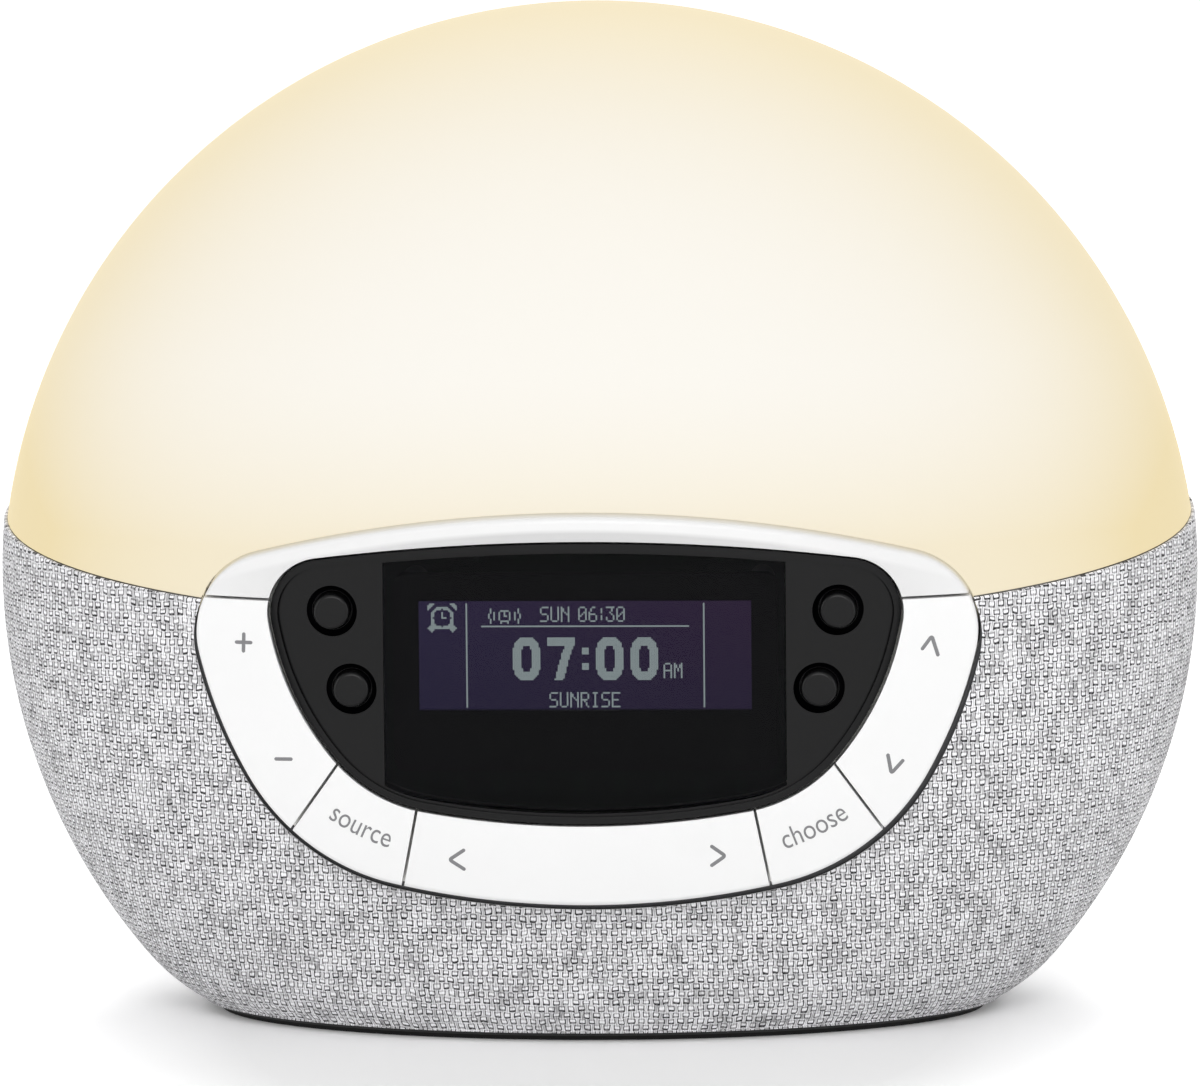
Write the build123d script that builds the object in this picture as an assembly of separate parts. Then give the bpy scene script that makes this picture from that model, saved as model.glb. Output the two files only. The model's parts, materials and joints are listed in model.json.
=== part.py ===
from build123d import *
import os
from math import atan2, degrees, radians, sin, cos, sqrt

# Sunrise alarm clock: a glowing dome on a cloth-covered base, with a D-shaped
# console of keys, round buttons and a display let into the front.
# Millimetres. +Z up, -Y towards the user, origin at the centre of the foot pad's
# underside. Every part is modelled where it sits in the finished clock.

# ---- driving dimensions: body ----------------------------------------------
HALF_W = 105.0          # half width at the widest level
HALF_D = 60.6           # half depth at the widest level
WIDEST_Z = 77.7         # height of the widest level
BOTTOM_Z = 1.6          # lower edge of the cloth
SKIN_TOP_Z = 104.0      # the body surface is only defined up to here
TURN_Z = 10.0           # the lower edge starts to turn in at this height
TURN_IN = 2.7           # and turns in this far
SEAM_Z = 87.6           # dome seam on the centre line
SEAM_TILT = 11.1        # the seam drops this many degrees towards the front
DOME_W, DOME_D, DOME_H = 105.0, 60.0, 104.8   # dome semi-axes
DOME_Z = 72.7           # height of the dome's centre
DOME_WALL = 2.4
CLOTH = 0.75            # cloth thickness
SHELL_WALL = 2.2        # base shell wall
CLEAR = 0.1             # between seated parts
FIT = 0.3               # round a part that is dropped in
FAR = 260.0             # longer than anything in the clock
FRONT_Y, MID_Y = -90.0, -30.0  # planes in front of the clock and behind the keys, for cutters

# ---- driving dimensions: console -------------------------------------------
RING_PROUD = 2.0        # key faces stand this far out of the body
CONSOLE_Z, CONSOLE_H = 72.0, 138.0   # the console face is a taller ellipsoid than the body
KEY_THICK = 4.0
KEY_GAP = 0.5           # between a key and its neighbours
KEY_ROUND = 1.0         # rounding of the keys along the console's outline
DECK = -3.4             # deck's front, measured from the body surface
DECK_THICK = 3.0
TUB_WALL = 2.0
TUB_BACK_Y = -32.0      # rear face of the console cover
COVER_THICK = 2.0
FLANGE_TOP_Z = 70.5     # the flange behind the shell ends below the tray ledge
BOARD_Y = -38.0         # front face of the key board
BOARD_THICK = 1.6
SWITCH = 6.0            # tact switch, square
SWITCH_TALL = 3.5
PLUNGER_R = 1.3
STEM_R = 1.9
PLUNGER_TIP_Y = -40.4
PLUNGER_BACK_Y = -42.2
PIN_R = 0.8             # rocker pins
PIN_LONG = 11.0
PIN_DEPTH = DECK - DECK_THICK / 2
RUNNING = 0.05          # radial running fit
TRIM_SPLIT_Z = 79.6     # level where the fixed trim meets the side rockers
KEY_GAPS = (            # gap lines on the right, mirrored on the left
    ((50.0, TRIM_SPLIT_Z), (72.0, TRIM_SPLIT_Z)),
    ((43.4, 50.4), (51.1, 39.4)),
    ((29.0, 44.0), (31.6, 30.7)),
)
RIM_WIDE = 1.2
RIM_PROUD = 0.5
WINDOW_HALF = 34.5      # half width of the flat display window
WINDOW_Y = -57.6
WINDOW_THICK = 2.0
DISPLAY_W, DISPLAY_H, DISPLAY_Z = 57.2, 19.0, 70.0
CELL_EDGE = 2.0         # the display cell reaches this far past the lit area
CELL_THICK = 1.5
BEZEL_THICK = 3.0
MODULE_W, MODULE_H = 66.0, 34.0
MODULE_DROP = 3.0       # its middle lies this far below the display's
SPACER_SPAN = (30.0, 14.2)     # half distances between the module's four spacers
SPACER_R, SPACER_TIP_R = 2.2, 1.1
MODULE_BOARD = 1.2      # thickness of the display module's board
BUTTON_R = 3.1
WELL_R = 4.4
BUTTONS = {"upper": (43.5, 77.8), "lower": (40.2, 64.4)}
BUTTON_IN = 1.5         # caps sit this far behind the panel, and the wells go as deep again
KEY_CENTRE = (38.5, 41.2)      # push keys, mirrored
SIDE_MARKS = ((58.0, 72.0), (50.8, 53.0))   # pressing points of a side rocker
ARROW_MARK = (22.0, 36.0)
SIDE_PIVOT = (57.4, 62.0)
SIDE_PIN_RUN = (20.0, 6.9)     # direction of a side rocker's pin, across the key
ARROW_PIVOT = (0.0, 34.8)

# ---- driving dimensions: inside --------------------------------------------
PLATE_Z, PLATE_TOP_Z = 0.9, 4.0
FOOT_IN = 1.2           # the foot stands this far inside the cloth's edge
BASE_SCREWS = (46.0, 21.0)
TRAY_SCREWS = (66.0, 30.0)
SCREW_R = 1.25
BOSS_R = 3.6
LEDGE = 5.2             # tray ledge, below the seam
TRAY_THICK = 2.0
MAIN_W, MAIN_D, MAIN_Y, MAIN_Z = 80.0, 52.0, 8.0, 8.0
SPEAKER_R = 24.0
SPEAKER_X, SPEAKER_Y, SPEAKER_Z = 84.0, 0.0, 52.0
JACK_Z = 16.0
RECESS_W, RECESS_H, RECESS_Z, RECESS_Y = 48.0, 20.0, 20.0, 46.0
GLAND_X = -14.0
LED_R = 30.0

MIN = Align.MIN
MID = Align.CENTER


# ---- shared shapes -----------------------------------------------------------
def circle_x(radius, z):
    """Half chord of the body's circular front profile."""
    return sqrt(radius**2 - (z - WIDEST_Z) ** 2)


def skin(inset_by):
    """Solid inside the body surface, moved outwards by inset_by (negative: inwards)."""
    r = HALF_W + inset_by
    top, turn, low = [(circle_x(r, z), z) for z in (SKIN_TOP_Z, TURN_Z, BOTTOM_Z)]
    low = (low[0] - TURN_IN, BOTTOM_Z)
    profile = Curve() + [
        Line((0, BOTTOM_Z), low),
        TangentArc(turn, low, tangent=(TURN_Z - WIDEST_Z, -turn[0])),
        ThreePointArc(turn, (r, WIDEST_Z), top),
        Line(top, (0, SKIN_TOP_Z)),
        Line((0, SKIN_TOP_Z), (0, BOTTOM_Z)),
    ]
    body = revolve(Plane.XZ * make_face(profile), Axis.Z)
    return scale(body, by=(1, (HALF_D + inset_by) / r, 1))


def console_skin(proud):
    """Solid inside the console surface, moved outwards by proud."""
    ball = scale(Sphere(1), by=(HALF_W + proud, HALF_D + proud, CONSOLE_H + proud))
    return Pos(0, 0, CONSOLE_Z) * ball


def front_y(x, z, proud):
    """Y of the front of console_skin(proud) at x, z."""
    spent = (x / (HALF_W + proud)) ** 2 + ((z - CONSOLE_Z) / (CONSOLE_H + proud)) ** 2
    return -(HALF_D + proud) * sqrt(1 - spent)


def panel_y(x):
    """Y of the upright black panel at x."""
    return -HALF_D * sqrt(1 - (x / HALF_W) ** 2)


def seam_plane(height):
    """The dome seam plane, moved up by height."""
    tilt = radians(SEAM_TILT)
    return Plane(origin=(0, 0, SEAM_Z), x_dir=(1, 0, 0), z_dir=(0, -sin(tilt), cos(tilt))).offset(height)


def slab(low, high):
    """Everything between two levels measured from the seam plane."""
    return seam_plane(low) * Box(FAR, FAR, high - low, align=(MID, MID, MIN))


def prism(face, back, front=FRONT_Y):
    """A face in the XZ plane drawn out between two values of Y."""
    return extrude(Plane.XZ.offset(-back) * face, amount=back - front)


def rod(x, z, y0, y1, radius):
    """Round bar along Y."""
    return Pos(x, (y0 + y1) / 2, z) * Rot(90, 0, 0) * Cylinder(radius, abs(y1 - y0))


def block(x, y, z, wide, deep, tall):
    """Box standing on z, centred on x and y."""
    return Pos(x, y, z) * Box(wide, deep, tall, align=(MID, MID, MIN))


def post(x, y, z, radius, tall):
    """Cylinder standing on z."""
    return Pos(x, y, z) * Cylinder(radius, tall, align=(MID, MID, MIN))


def both_sides(points):
    return [(sign * x, z) for sign in (-1, 1) for x, z in points]


def d_outline(top, top_r, high_x, bulge, low_x, bottom, bottom_r, upper_r, lower_r):
    """Rounded D: arched top and bottom, sides that lean in and bulge out, rounded corners."""
    high = (high_x, top - top_r + sqrt(top_r**2 - high_x**2))
    low = (low_x, bottom + bottom_r - sqrt(bottom_r**2 - low_x**2))
    run_x, run_z = high[0] - low[0], high[1] - low[1]
    out = bulge / sqrt(run_x**2 + run_z**2)
    middle = ((high[0] + low[0]) / 2 + out * run_z, (high[1] + low[1]) / 2 - out * run_x)
    outline = Curve() + [
        ThreePointArc((-high[0], high[1]), (0, top), high),
        ThreePointArc(high, middle, low),
        ThreePointArc(low, (0, bottom), (-low[0], low[1])),
        ThreePointArc((-low[0], low[1]), (-middle[0], middle[1]), (-high[0], high[1])),
    ]
    face = make_face(outline)
    face = fillet(face.vertices().group_by(Axis.Y)[-1], upper_r)
    face = fillet(face.vertices().sort_by(Axis.Y)[:2], lower_r)
    return make_face([ThreePointArc(edge @ 0, edge @ 0.5, edge @ 1) for edge in face.edges()])


def grown(outline, amount):
    """An outline of arcs that run on smoothly and all bulge outwards, moved outwards by amount."""
    arcs = []
    for edge in outline.edges():
        middle, reach = edge.arc_center, 1 + amount / edge.radius
        arcs.append(ThreePointArc(*[middle + (edge @ place - middle) * reach for place in (0, 0.5, 1)]))
    return make_face(arcs)


OUTER = d_outline(94.8, 214.0, 69.0, 4.7, 47.7, 27.1, 167.0, 14.5, 38.0)
INNER = d_outline(90.1, 303.0, 54.8, 5.4, 35.5, 41.6, 176.0, 9.4, 25.5)


# ---- body ---------------------------------------------------------------------
def ellipsoid(inset):
    ball = scale(Sphere(1), by=(DOME_W - inset, DOME_D - inset, DOME_H - inset))
    return Pos(0, 0, DOME_Z) * ball


def console_hole(gap):
    return prism(grown(OUTER, gap), TUB_BACK_Y + 2.5)


def dome_diffuser():
    """Milky shell with a spigot that locates it inside the base shell."""
    shell = (ellipsoid(0) - ellipsoid(DOME_WALL)) & slab(0.4, FAR)
    foot = (skin(-1.4) - skin(-4.7)) & slab(0.4, 2.2)
    spigot = (skin(-3.3) - skin(-4.7)) & slab(-3.0, 2.2)
    return shell + foot + spigot - console_hole(0.4)


def dome_gasket():
    ring = (skin(-1.4) - skin(-2.9)) & slab(0, 0.4)
    return ring - console_hole(0.4)


def light_tray():
    """White floor of the lamp chamber, resting on the base shell's ledge."""
    tray = skin(-3.3) & slab(0.1 - LEDGE, 0.1 - LEDGE + TRAY_THICK)
    tray -= console_hole(0.4)
    for x, y in corners(TRAY_SCREWS):
        tray -= seam_plane(0) * Pos(x, y, 0) * Cylinder(SCREW_R + 0.2, 30)
    return tray - seam_plane(0) * Pos(LED_R + 8, 0, 0) * Cylinder(3.0, 30)


def corners(reach):
    return [(sx * reach[0], sy * reach[1]) for sx in (-1, 1) for sy in (-1, 1)]


def fabric_wrap():
    cloth = (skin(0) - skin(-CLOTH)) & slab(-FAR, 0)
    cloth -= console_hole(KEY_GAP)
    return cloth - recess_block(0.0)


def recess_block(grow):
    deep = FAR / 2
    return Pos(0, RECESS_Y - 2 + deep / 2, RECESS_Z) * Box(RECESS_W + grow, deep, RECESS_H + grow)


def base_shell():
    """Rigid housing under the cloth, with a tray ledge, bosses and speaker wells."""
    inside = skin(-CLOTH - SHELL_WALL)
    keep_in = skin(-CLOTH - 0.8)
    shell = (skin(-CLOTH) - inside) & slab(-FAR, 0)
    shell += (keep_in - skin(-6.0)) & slab(-LEDGE - 2, -LEDGE)
    for x, y in corners(TRAY_SCREWS):
        boss = seam_plane(-LEDGE - 14) * Pos(x, y, 0) * Cylinder(BOSS_R, 14, align=(MID, MID, MIN))
        rib = seam_plane(-LEDGE - 14) * Pos(x * 1.3, y * 1.3, 7) * Rot(0, 0, degrees(atan2(y, x))) * Box(50, 2, 14)
        hole = seam_plane(-LEDGE - 10) * Pos(x, y, 0) * Cylinder(SCREW_R, 10.1, align=(MID, MID, MIN))
        shell += boss + (rib & keep_in)
        shell -= hole
    for x, y in corners(BASE_SCREWS):
        boss = post(x, y, PLATE_TOP_Z + CLEAR, BOSS_R, 12)
        rib = Pos(x * 1.35, y * 1.35, 10) * Rot(0, 0, degrees(atan2(y, x))) * Box(34, 2, 12)
        shell += boss + (rib & keep_in)
        shell -= post(x, y, PLATE_TOP_Z, SCREW_R, 10)
    for side in (-1, 1):
        well = Pos(side * SPEAKER_X, SPEAKER_Y, SPEAKER_Z) * Rot(0, side * 90, 0)
        tube = Cylinder(SPEAKER_R + 4, 40, align=(MID, MID, MIN)) - Cylinder(SPEAKER_R, 40, align=(MID, MID, MIN))
        shell += (well * tube) & keep_in
        holes = [p * Cylinder(1.9, 60) for p in HexLocations(3.2, 7, 7) if Vector(*p.position).length < SPEAKER_R - 3]
        shell -= well * Compound(children=[h for h in holes])
    shell -= console_hole(0.3)
    return shell - recess_block(0.2)


def base_plate():
    """Black floor plate: a flange under the wall and a plug inside it."""
    flange = extrude(Pos(0, 0, PLATE_Z) * Ellipse(*low_size(0, FOOT_IN)), BOTTOM_Z - PLATE_Z)
    plug = extrude(Pos(0, 0, BOTTOM_Z) * Ellipse(*low_size(CLOTH + SHELL_WALL, FIT)), PLATE_TOP_Z - BOTTOM_Z)
    plate = flange + plug
    for x, y in corners((MAIN_W / 2 - 4, MAIN_D / 2 - 4)):
        plate += post(x, MAIN_Y + y, PLATE_TOP_Z, 3.0, MAIN_Z - PLATE_TOP_Z)
        plate -= post(x, MAIN_Y + y, PLATE_TOP_Z + 0.5, 0.9, 10)
    for x, y in corners(BASE_SCREWS):
        plate -= post(x, y, 0, SCREW_R + 0.2, 10)
        plate -= post(x, y, 0, SCREW_R + 1.4, PLATE_Z + 1.0)
    return plate


def low_size(inset_by, less):
    """Half width and half depth of skin(-inset_by) at its lower edge, made smaller by less."""
    wide = circle_x(HALF_W - inset_by, BOTTOM_Z) - TURN_IN
    return wide - less, wide * (HALF_D - inset_by) / (HALF_W - inset_by) - less


def foot_pad():
    pad = extrude(Ellipse(*low_size(0, FOOT_IN + 1.2)), PLATE_Z)
    for x, y in corners(BASE_SCREWS):
        pad -= post(x, y, 0, SCREW_R + 1.6, 3)
    return pad


def screw(length, head_r=2.3, head=1.3):
    """Pan-head screw along -Z, the underside of its head at the origin, with a cross slot."""
    body = Cylinder(SCREW_R - RUNNING, length, align=(MID, MID, Align.MAX)) + Cylinder(head_r, head, align=(MID, MID, MIN))
    slot = Box(2 * head_r - 1.6, 0.6, 1.2) + Box(0.6, 2 * head_r - 1.6, 1.2)
    return body - Pos(0, 0, head) * slot


def case_screws():
    """The twelve identical screws of the base plate, the lamp tray and the console cover."""
    top = 0.1 - LEDGE + TRAY_THICK
    low = [Pos(x, y, PLATE_Z + 1.0) * Rot(180, 0, 0) * screw(9) for x, y in corners(BASE_SCREWS)]
    high = [seam_plane(top) * Pos(x, y, 0) * screw(9) for x, y in corners(TRAY_SCREWS)]
    rear = [Pos(x, TUB_BACK_Y, z) * Rot(-90, 0, 0) * screw(9) for x, z in cover_posts()]
    return low + high + rear


# ---- console --------------------------------------------------------------------
def ring_layer(front, back):
    """The ring between console edge and panel, as a layer of the console surface."""
    flat = OUTER - grown(INNER, KEY_GAP)
    layer = console_skin(front) - console_skin(back)
    ring = prism(flat, -30) & layer
    for side in (-1, 1):
        for (x0, z0), (x1, z1) in KEY_GAPS:
            ring -= gap_slot((side * x0, z0), (side * x1, z1))
    return fillet([edge for edge in ring.edges() if on_rim(edge, front)], KEY_ROUND)


def on_rim(edge, proud):
    """Whether an edge lies on the console surface and on the console's outline."""
    middle = edge @ 0.5
    on_face = abs(middle.Y - front_y(middle.X, middle.Z, proud)) < 0.02
    return on_face and OUTER.face().outer_wire().distance_to(Vector(middle.X, middle.Z, 0)) < 0.05


def gap_slot(p, q):
    """Cutter for the gap between two keys, along the line p-q in the XZ plane."""
    run = sqrt((q[0] - p[0]) ** 2 + (q[1] - p[1]) ** 2) + 6
    turn = degrees(atan2(q[1] - p[1], q[0] - p[0]))
    middle = Pos((p[0] + q[0]) / 2, 0, (p[1] + q[1]) / 2)
    return middle * Rot(0, -turn, 0) * Box(run, FAR, KEY_GAP)


def nearest(solids, x, z):
    """The solid whose centre is nearest to x, z."""
    return min(solids, key=lambda s: (s.center().X - x) ** 2 + (s.center().Z - z) ** 2)


def stems(marks):
    """Bars that carry a press from a key to its switches."""
    return [rod(x, z, front_y(x, z, -1.0), PLUNGER_BACK_Y, STEM_R) for x, z in marks]


def plungers(marks):
    """Switch plungers, one at the end of each stem."""
    return [rod(x, z, PLUNGER_BACK_Y, PLUNGER_TIP_Y, PLUNGER_R) for x, z in marks]


def pivot_plane(centre, across):
    """Frame of a rocker pivot: X along the pin, Z out of the console."""
    x, z = centre
    size = sqrt(across[0] ** 2 + across[1] ** 2)
    ux, uz = across[0] / size, across[1] / size

    def at(dx, dz):
        return Vector(x + dx, front_y(x + dx, z + dz, PIN_DEPTH), z + dz)

    along = at(3 * ux, 3 * uz) - at(-3 * ux, -3 * uz)
    other = at(-3 * uz, 3 * ux) - at(3 * uz, -3 * ux)
    out = along.cross(other)
    if out.Y > 0:
        out = -out
    return Plane(origin=at(0, 0), x_dir=along, z_dir=out)


def pin_bar(plane, radius, length):
    return plane * Rot(0, 90, 0) * Cylinder(radius, length)


def side_pivot(side):
    return pivot_plane((side * SIDE_PIVOT[0], SIDE_PIVOT[1]), (side * SIDE_PIN_RUN[0], SIDE_PIN_RUN[1]))


def arrow_pivot():
    return pivot_plane(ARROW_PIVOT, (0.0, 1.0))


def pivots():
    return {"volume": side_pivot(-1), "arrow": arrow_pivot(), "updown": side_pivot(1)}


def rocker(blank, marks, plane):
    """Key with two stems and a lug that turns on a pin."""
    key = blank + stems(marks) + plane * Pos(0, 0, 1.4) * Box(3.0, 4.0, 5.4)
    return key - pin_bar(plane, PIN_R + RUNNING, 20)


def push_key(blank, mark):
    return blank + stems([mark])


def rocker_pins():
    return [pin_bar(plane, PIN_R, PIN_LONG) for plane in pivots().values()]


def console_frame():
    """Tub that carries the keys, panel and boards, with a flange behind the base shell."""
    deck_front = console_skin(DECK)
    deck_back = console_skin(DECK - DECK_THICK)
    outer = prism(OUTER, TUB_BACK_Y - COVER_THICK) & deck_front
    cavity = prism(grown(OUTER, -TUB_WALL), TUB_BACK_Y - COVER_THICK + 1) & deck_back
    frame = outer - cavity
    flange = prism(grown(OUTER, 4.0), -20) & (skin(-CLOTH - SHELL_WALL - CLEAR) - skin(-4.8))
    flange &= Box(FAR, FAR, FLANGE_TOP_Z, align=(MID, MID, MIN))
    frame += flange - prism(grown(OUTER, -TUB_WALL), -20)
    for x, z in cover_posts():
        frame += rod(x, z, TUB_BACK_Y - COVER_THICK, front_y(x, z, -4.5), 3.0) & prism(OUTER, -30)
    frame -= prism(window_face(0.3), -40)
    for x, z in all_marks():
        frame -= rod(x, z, -70, -40, STEM_R + 0.9)
    for x, z in both_sides(BUTTONS.values()):
        frame -= rod(x, z, -70, -40, WELL_R + 0.3)
    for plane in pivots().values():
        frame -= plane * Box(4.2, 7.0, 12.0)
        frame -= pin_bar(plane, PIN_R, PIN_LONG)
    for x, z in cover_posts():
        frame -= rod(x, z, TUB_BACK_Y - COVER_THICK - 9, -20, SCREW_R)
    return frame


def cover_posts():
    return both_sides([(60.0, 80.0), (45.0, 42.0)])


def all_marks():
    return both_sides(SIDE_MARKS) + both_sides([ARROW_MARK]) + both_sides([KEY_CENTRE])


def window_face(grow):
    """Flat outline of the display window: the panel outline cut off at both sides."""
    middle = Pos(0, 66) * Rectangle(2 * (WINDOW_HALF + grow), 80)
    return grown(INNER, -RIM_WIDE - 0.6 + grow) & middle


def panel_skin(offset_by):
    """Upright elliptical cylinder that the black panel follows."""
    return extrude(Ellipse(HALF_W + offset_by, HALF_D + offset_by), 120)


def black_panel():
    """Glossy fascia: raised rim, four wells for the round buttons, window opening."""
    back = console_skin(DECK + CLEAR)
    face = prism(INNER, -30) & panel_skin(0)
    rim = prism(INNER - grown(INNER, -RIM_WIDE), -30) & panel_skin(RIM_PROUD)
    panel = face + rim - back
    panel -= prism(window_face(0.1), -30)
    for x, z in both_sides(BUTTONS.values()):
        panel -= rod(x, z, FRONT_Y, panel_y(x) + BUTTON_IN, WELL_R)
        panel -= rod(x, z, FRONT_Y, MID_Y, BUTTON_R + FIT)
    return panel


def display_window():
    return prism(window_face(0), WINDOW_Y + WINDOW_THICK, WINDOW_Y)


def module_face():
    """Outline of the display module."""
    return Pos(0, DISPLAY_Z - MODULE_DROP) * RectangleRounded(MODULE_W, MODULE_H, 2)


def cell_face(grow):
    """Outline of the lit area, moved outwards by grow."""
    return Pos(0, DISPLAY_Z) * Rectangle(DISPLAY_W + 2 * grow, DISPLAY_H + 2 * grow)


BEZEL_Y = WINDOW_Y + WINDOW_THICK + CLEAR      # front of the display module
CELL_BACK_Y = BEZEL_Y + BEZEL_THICK
MODULE_BACK_Y = CELL_BACK_Y + CLEAR + MODULE_BOARD


def display_bezel():
    """Black frame behind the window with a pocket for the display cell."""
    frame = prism(module_face(), CELL_BACK_Y, BEZEL_Y)
    frame -= prism(cell_face(0), CELL_BACK_Y)
    return frame - prism(cell_face(CELL_EDGE + CLEAR), CELL_BACK_Y, CELL_BACK_Y - CELL_THICK - CLEAR)


def display_cell():
    return prism(cell_face(CELL_EDGE), CELL_BACK_Y, CELL_BACK_Y - CELL_THICK)


def display_board():
    board = prism(module_face(), MODULE_BACK_Y, CELL_BACK_Y + CLEAR)
    for x, z in spacer_spots():
        board -= rod(x, z, BEZEL_Y, MODULE_BACK_Y, SPACER_TIP_R + CLEAR)
    return board


def spacer_spots():
    middle = DISPLAY_Z - MODULE_DROP
    return both_sides([(SPACER_SPAN[0], middle - SPACER_SPAN[1]), (SPACER_SPAN[0], middle + SPACER_SPAN[1])])


def display_spacers():
    """Stand-offs between the module and the key board, each with a tip in the module's board."""
    front = MODULE_BACK_Y + CLEAR
    return [rod(x, z, front, BOARD_Y - CLEAR, SPACER_R) + rod(x, z, front, front - MODULE_BOARD, SPACER_TIP_R)
            for x, z in spacer_spots()]


def key_board():
    """Circuit board behind the keys."""
    board = prism(grown(OUTER, -TUB_WALL - 1.0), BOARD_Y + BOARD_THICK, BOARD_Y)
    for x, z in cover_posts():
        board -= rod(x, z, -45, -30, 3.6)
    return board


def switch_spots():
    return all_marks() + both_sides(BUTTONS.values())


def tact_switches():
    front = BOARD_Y - SWITCH_TALL
    return [prism(Pos(x, z) * Rectangle(SWITCH, SWITCH), BOARD_Y, front) - rod(x, z, front - 1, front + 2.6, 2.2)
            for x, z in switch_spots()]


def round_button(x, z):
    """Button cap with a retaining flange and a stem."""
    face = panel_y(x) - BUTTON_IN
    flange = front_y(x + 4.2 * (1 if x > 0 else -1), z, DECK + CLEAR) + 0.4
    cap = rod(x, z, face, flange + 1.2, BUTTON_R)
    cap = fillet(cap.edges().sort_by(Axis.Y)[0], 0.7)
    return cap + rod(x, z, flange, flange + 1.2, WELL_R - 0.3) + rod(x, z, flange + 1, PLUNGER_BACK_Y, STEM_R)


def console_cover():
    """Rear lid of the console tub, with stand-offs for the key board."""
    front = TUB_BACK_Y - COVER_THICK + CLEAR
    cover = prism(OUTER, TUB_BACK_Y, front)
    for x, z in both_sides([(25.0, 80.0), (20.0, 45.0), (48.0, 62.0)]):
        cover += rod(x, z, BOARD_Y + BOARD_THICK + CLEAR, front, 2.5)
    for x, z in cover_posts():
        cover -= rod(x, z, -45, -30, SCREW_R + 0.2)
    slot = prism(Pos(0, 45) * Rectangle(20, 3), -30)
    return cover - slot


# ---- lamp -----------------------------------------------------------------------
LAMP = 0.1 - LEDGE + TRAY_THICK      # tray's upper face, from the seam plane


def led_board():
    board = seam_plane(LAMP + CLEAR) * Cylinder(LED_R, 1.6, align=(MID, MID, MIN))
    return board


def led_chips():
    spots = [(r, 360 * i / n) for r, n in ((25.0, 14), (16.0, 9), (7.0, 4)) for i in range(n)]
    chip = Box(3.5, 3.5, 0.9, align=(MID, MID, MIN))
    return [seam_plane(LAMP + CLEAR + 1.6) * Rot(0, 0, a) * Pos(r, 0, 0) * chip for r, a in spots]


def led_heat_sink():
    """Aluminium plate with fins under the tray."""
    under = seam_plane(LAMP - TRAY_THICK - CLEAR)
    sink = under * Box(56, 44, 3, align=(MID, MID, Align.MAX))
    for i in range(9):
        sink += under * Pos(-26 + 6.5 * i, 0, -3) * Box(1.4, 44, 12, align=(MID, MID, Align.MAX))
    return sink


# ---- electronics in the base ------------------------------------------------------
def main_board():
    board = block(0, MAIN_Y, MAIN_Z + CLEAR, MAIN_W, MAIN_D, BOARD_THICK)
    for x, y in corners((MAIN_W / 2 - 4, MAIN_D / 2 - 4)):
        board -= post(x, MAIN_Y + y, MAIN_Z - 1, 1.1, 5)
    return board


BOARD_TOP = MAIN_Z + CLEAR + BOARD_THICK


def board_screws():
    short = Pos(0, 0, BOARD_TOP) * (Cylinder(0.85, 4.5, align=(MID, MID, Align.MAX)) + Cylinder(2.0, 1.1, align=(MID, MID, MIN)))
    return [Pos(x, MAIN_Y + y, 0) * short for x, y in corners((MAIN_W / 2 - 4, MAIN_D / 2 - 4))]


def main_processor():
    return block(-8, 4, BOARD_TOP, 14, 14, 1.6)


def radio_module():
    return block(-27, 6, BOARD_TOP, 18, 22, 3.2)


def capacitors():
    return [post(x, y, BOARD_TOP, 4.0, 11) for x, y in ((14, 18), (24, 18), (14, 28))]


def board_connectors():
    plug = [block(0, -13, BOARD_TOP, 20, 5, 6), block(32, 2, BOARD_TOP, 6, 8, 7),
            block(-18, -13, BOARD_TOP, 8, 5, 6), block(18, -13, BOARD_TOP, 8, 5, 6)]
    return plug


def cell_holder():
    ring = post(14, 3, BOARD_TOP, 7.8, 3.2) - post(14, 3, BOARD_TOP + 0.8, 6.4, 5)
    return ring


def backup_cell():
    return post(14, 3, BOARD_TOP + 0.8, 6.25, 2.1)


def socket_panel():
    """Rear recess with holes for the power inlet and the aerial."""
    tub = recess_block(0.0) & skin(-0.1)
    deep = FAR / 2
    hollow = Pos(0, RECESS_Y + deep / 2, RECESS_Z) * Box(RECESS_W - 3, deep, RECESS_H - 3)
    tub -= hollow
    tub -= rod(0, JACK_Z, 40, 60, 4.1)
    return tub - rod(GLAND_X, RECESS_Z, 40, 60, 2.6)


def power_jack():
    """Barrel socket on the main board: nose, bore and centre pin."""
    body = block(0, RECESS_Y - 3.8 - 6, BOARD_TOP, 9, 12, JACK_Z - BOARD_TOP + 5)
    body += rod(0, JACK_Z, RECESS_Y - 5, RECESS_Y, 4.0)
    body -= rod(0, JACK_Z, RECESS_Y - 9, RECESS_Y + 1, 2.8)
    return body + rod(0, JACK_Z, RECESS_Y - 9.5, RECESS_Y - 1.0, 1.0)


def aerial_gland():
    gland = rod(GLAND_X, RECESS_Z, RECESS_Y - 3, RECESS_Y + 1, 2.5)
    gland += rod(GLAND_X, RECESS_Z, RECESS_Y, RECESS_Y + 1, 3.6)
    gland += rod(GLAND_X, RECESS_Z, RECESS_Y - 3, RECESS_Y - 2, 3.4)
    return gland - rod(GLAND_X, RECESS_Z, RECESS_Y - 4, RECESS_Y + 2, 1.1)


# ---- speakers -----------------------------------------------------------------------
def facing(side):
    """Frame of a speaker: Z out of the clock, origin on the mounting face."""
    return Pos(side * SPEAKER_X, SPEAKER_Y, SPEAKER_Z) * Rot(0, side * 90, 0)


def speaker_gasket():
    ring = Pos(0, 0, -1.0) * (Cylinder(27, 0.9, align=(MID, MID, MIN)) - Cylinder(23, 0.9, align=(MID, MID, MIN)))
    return ring


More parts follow.
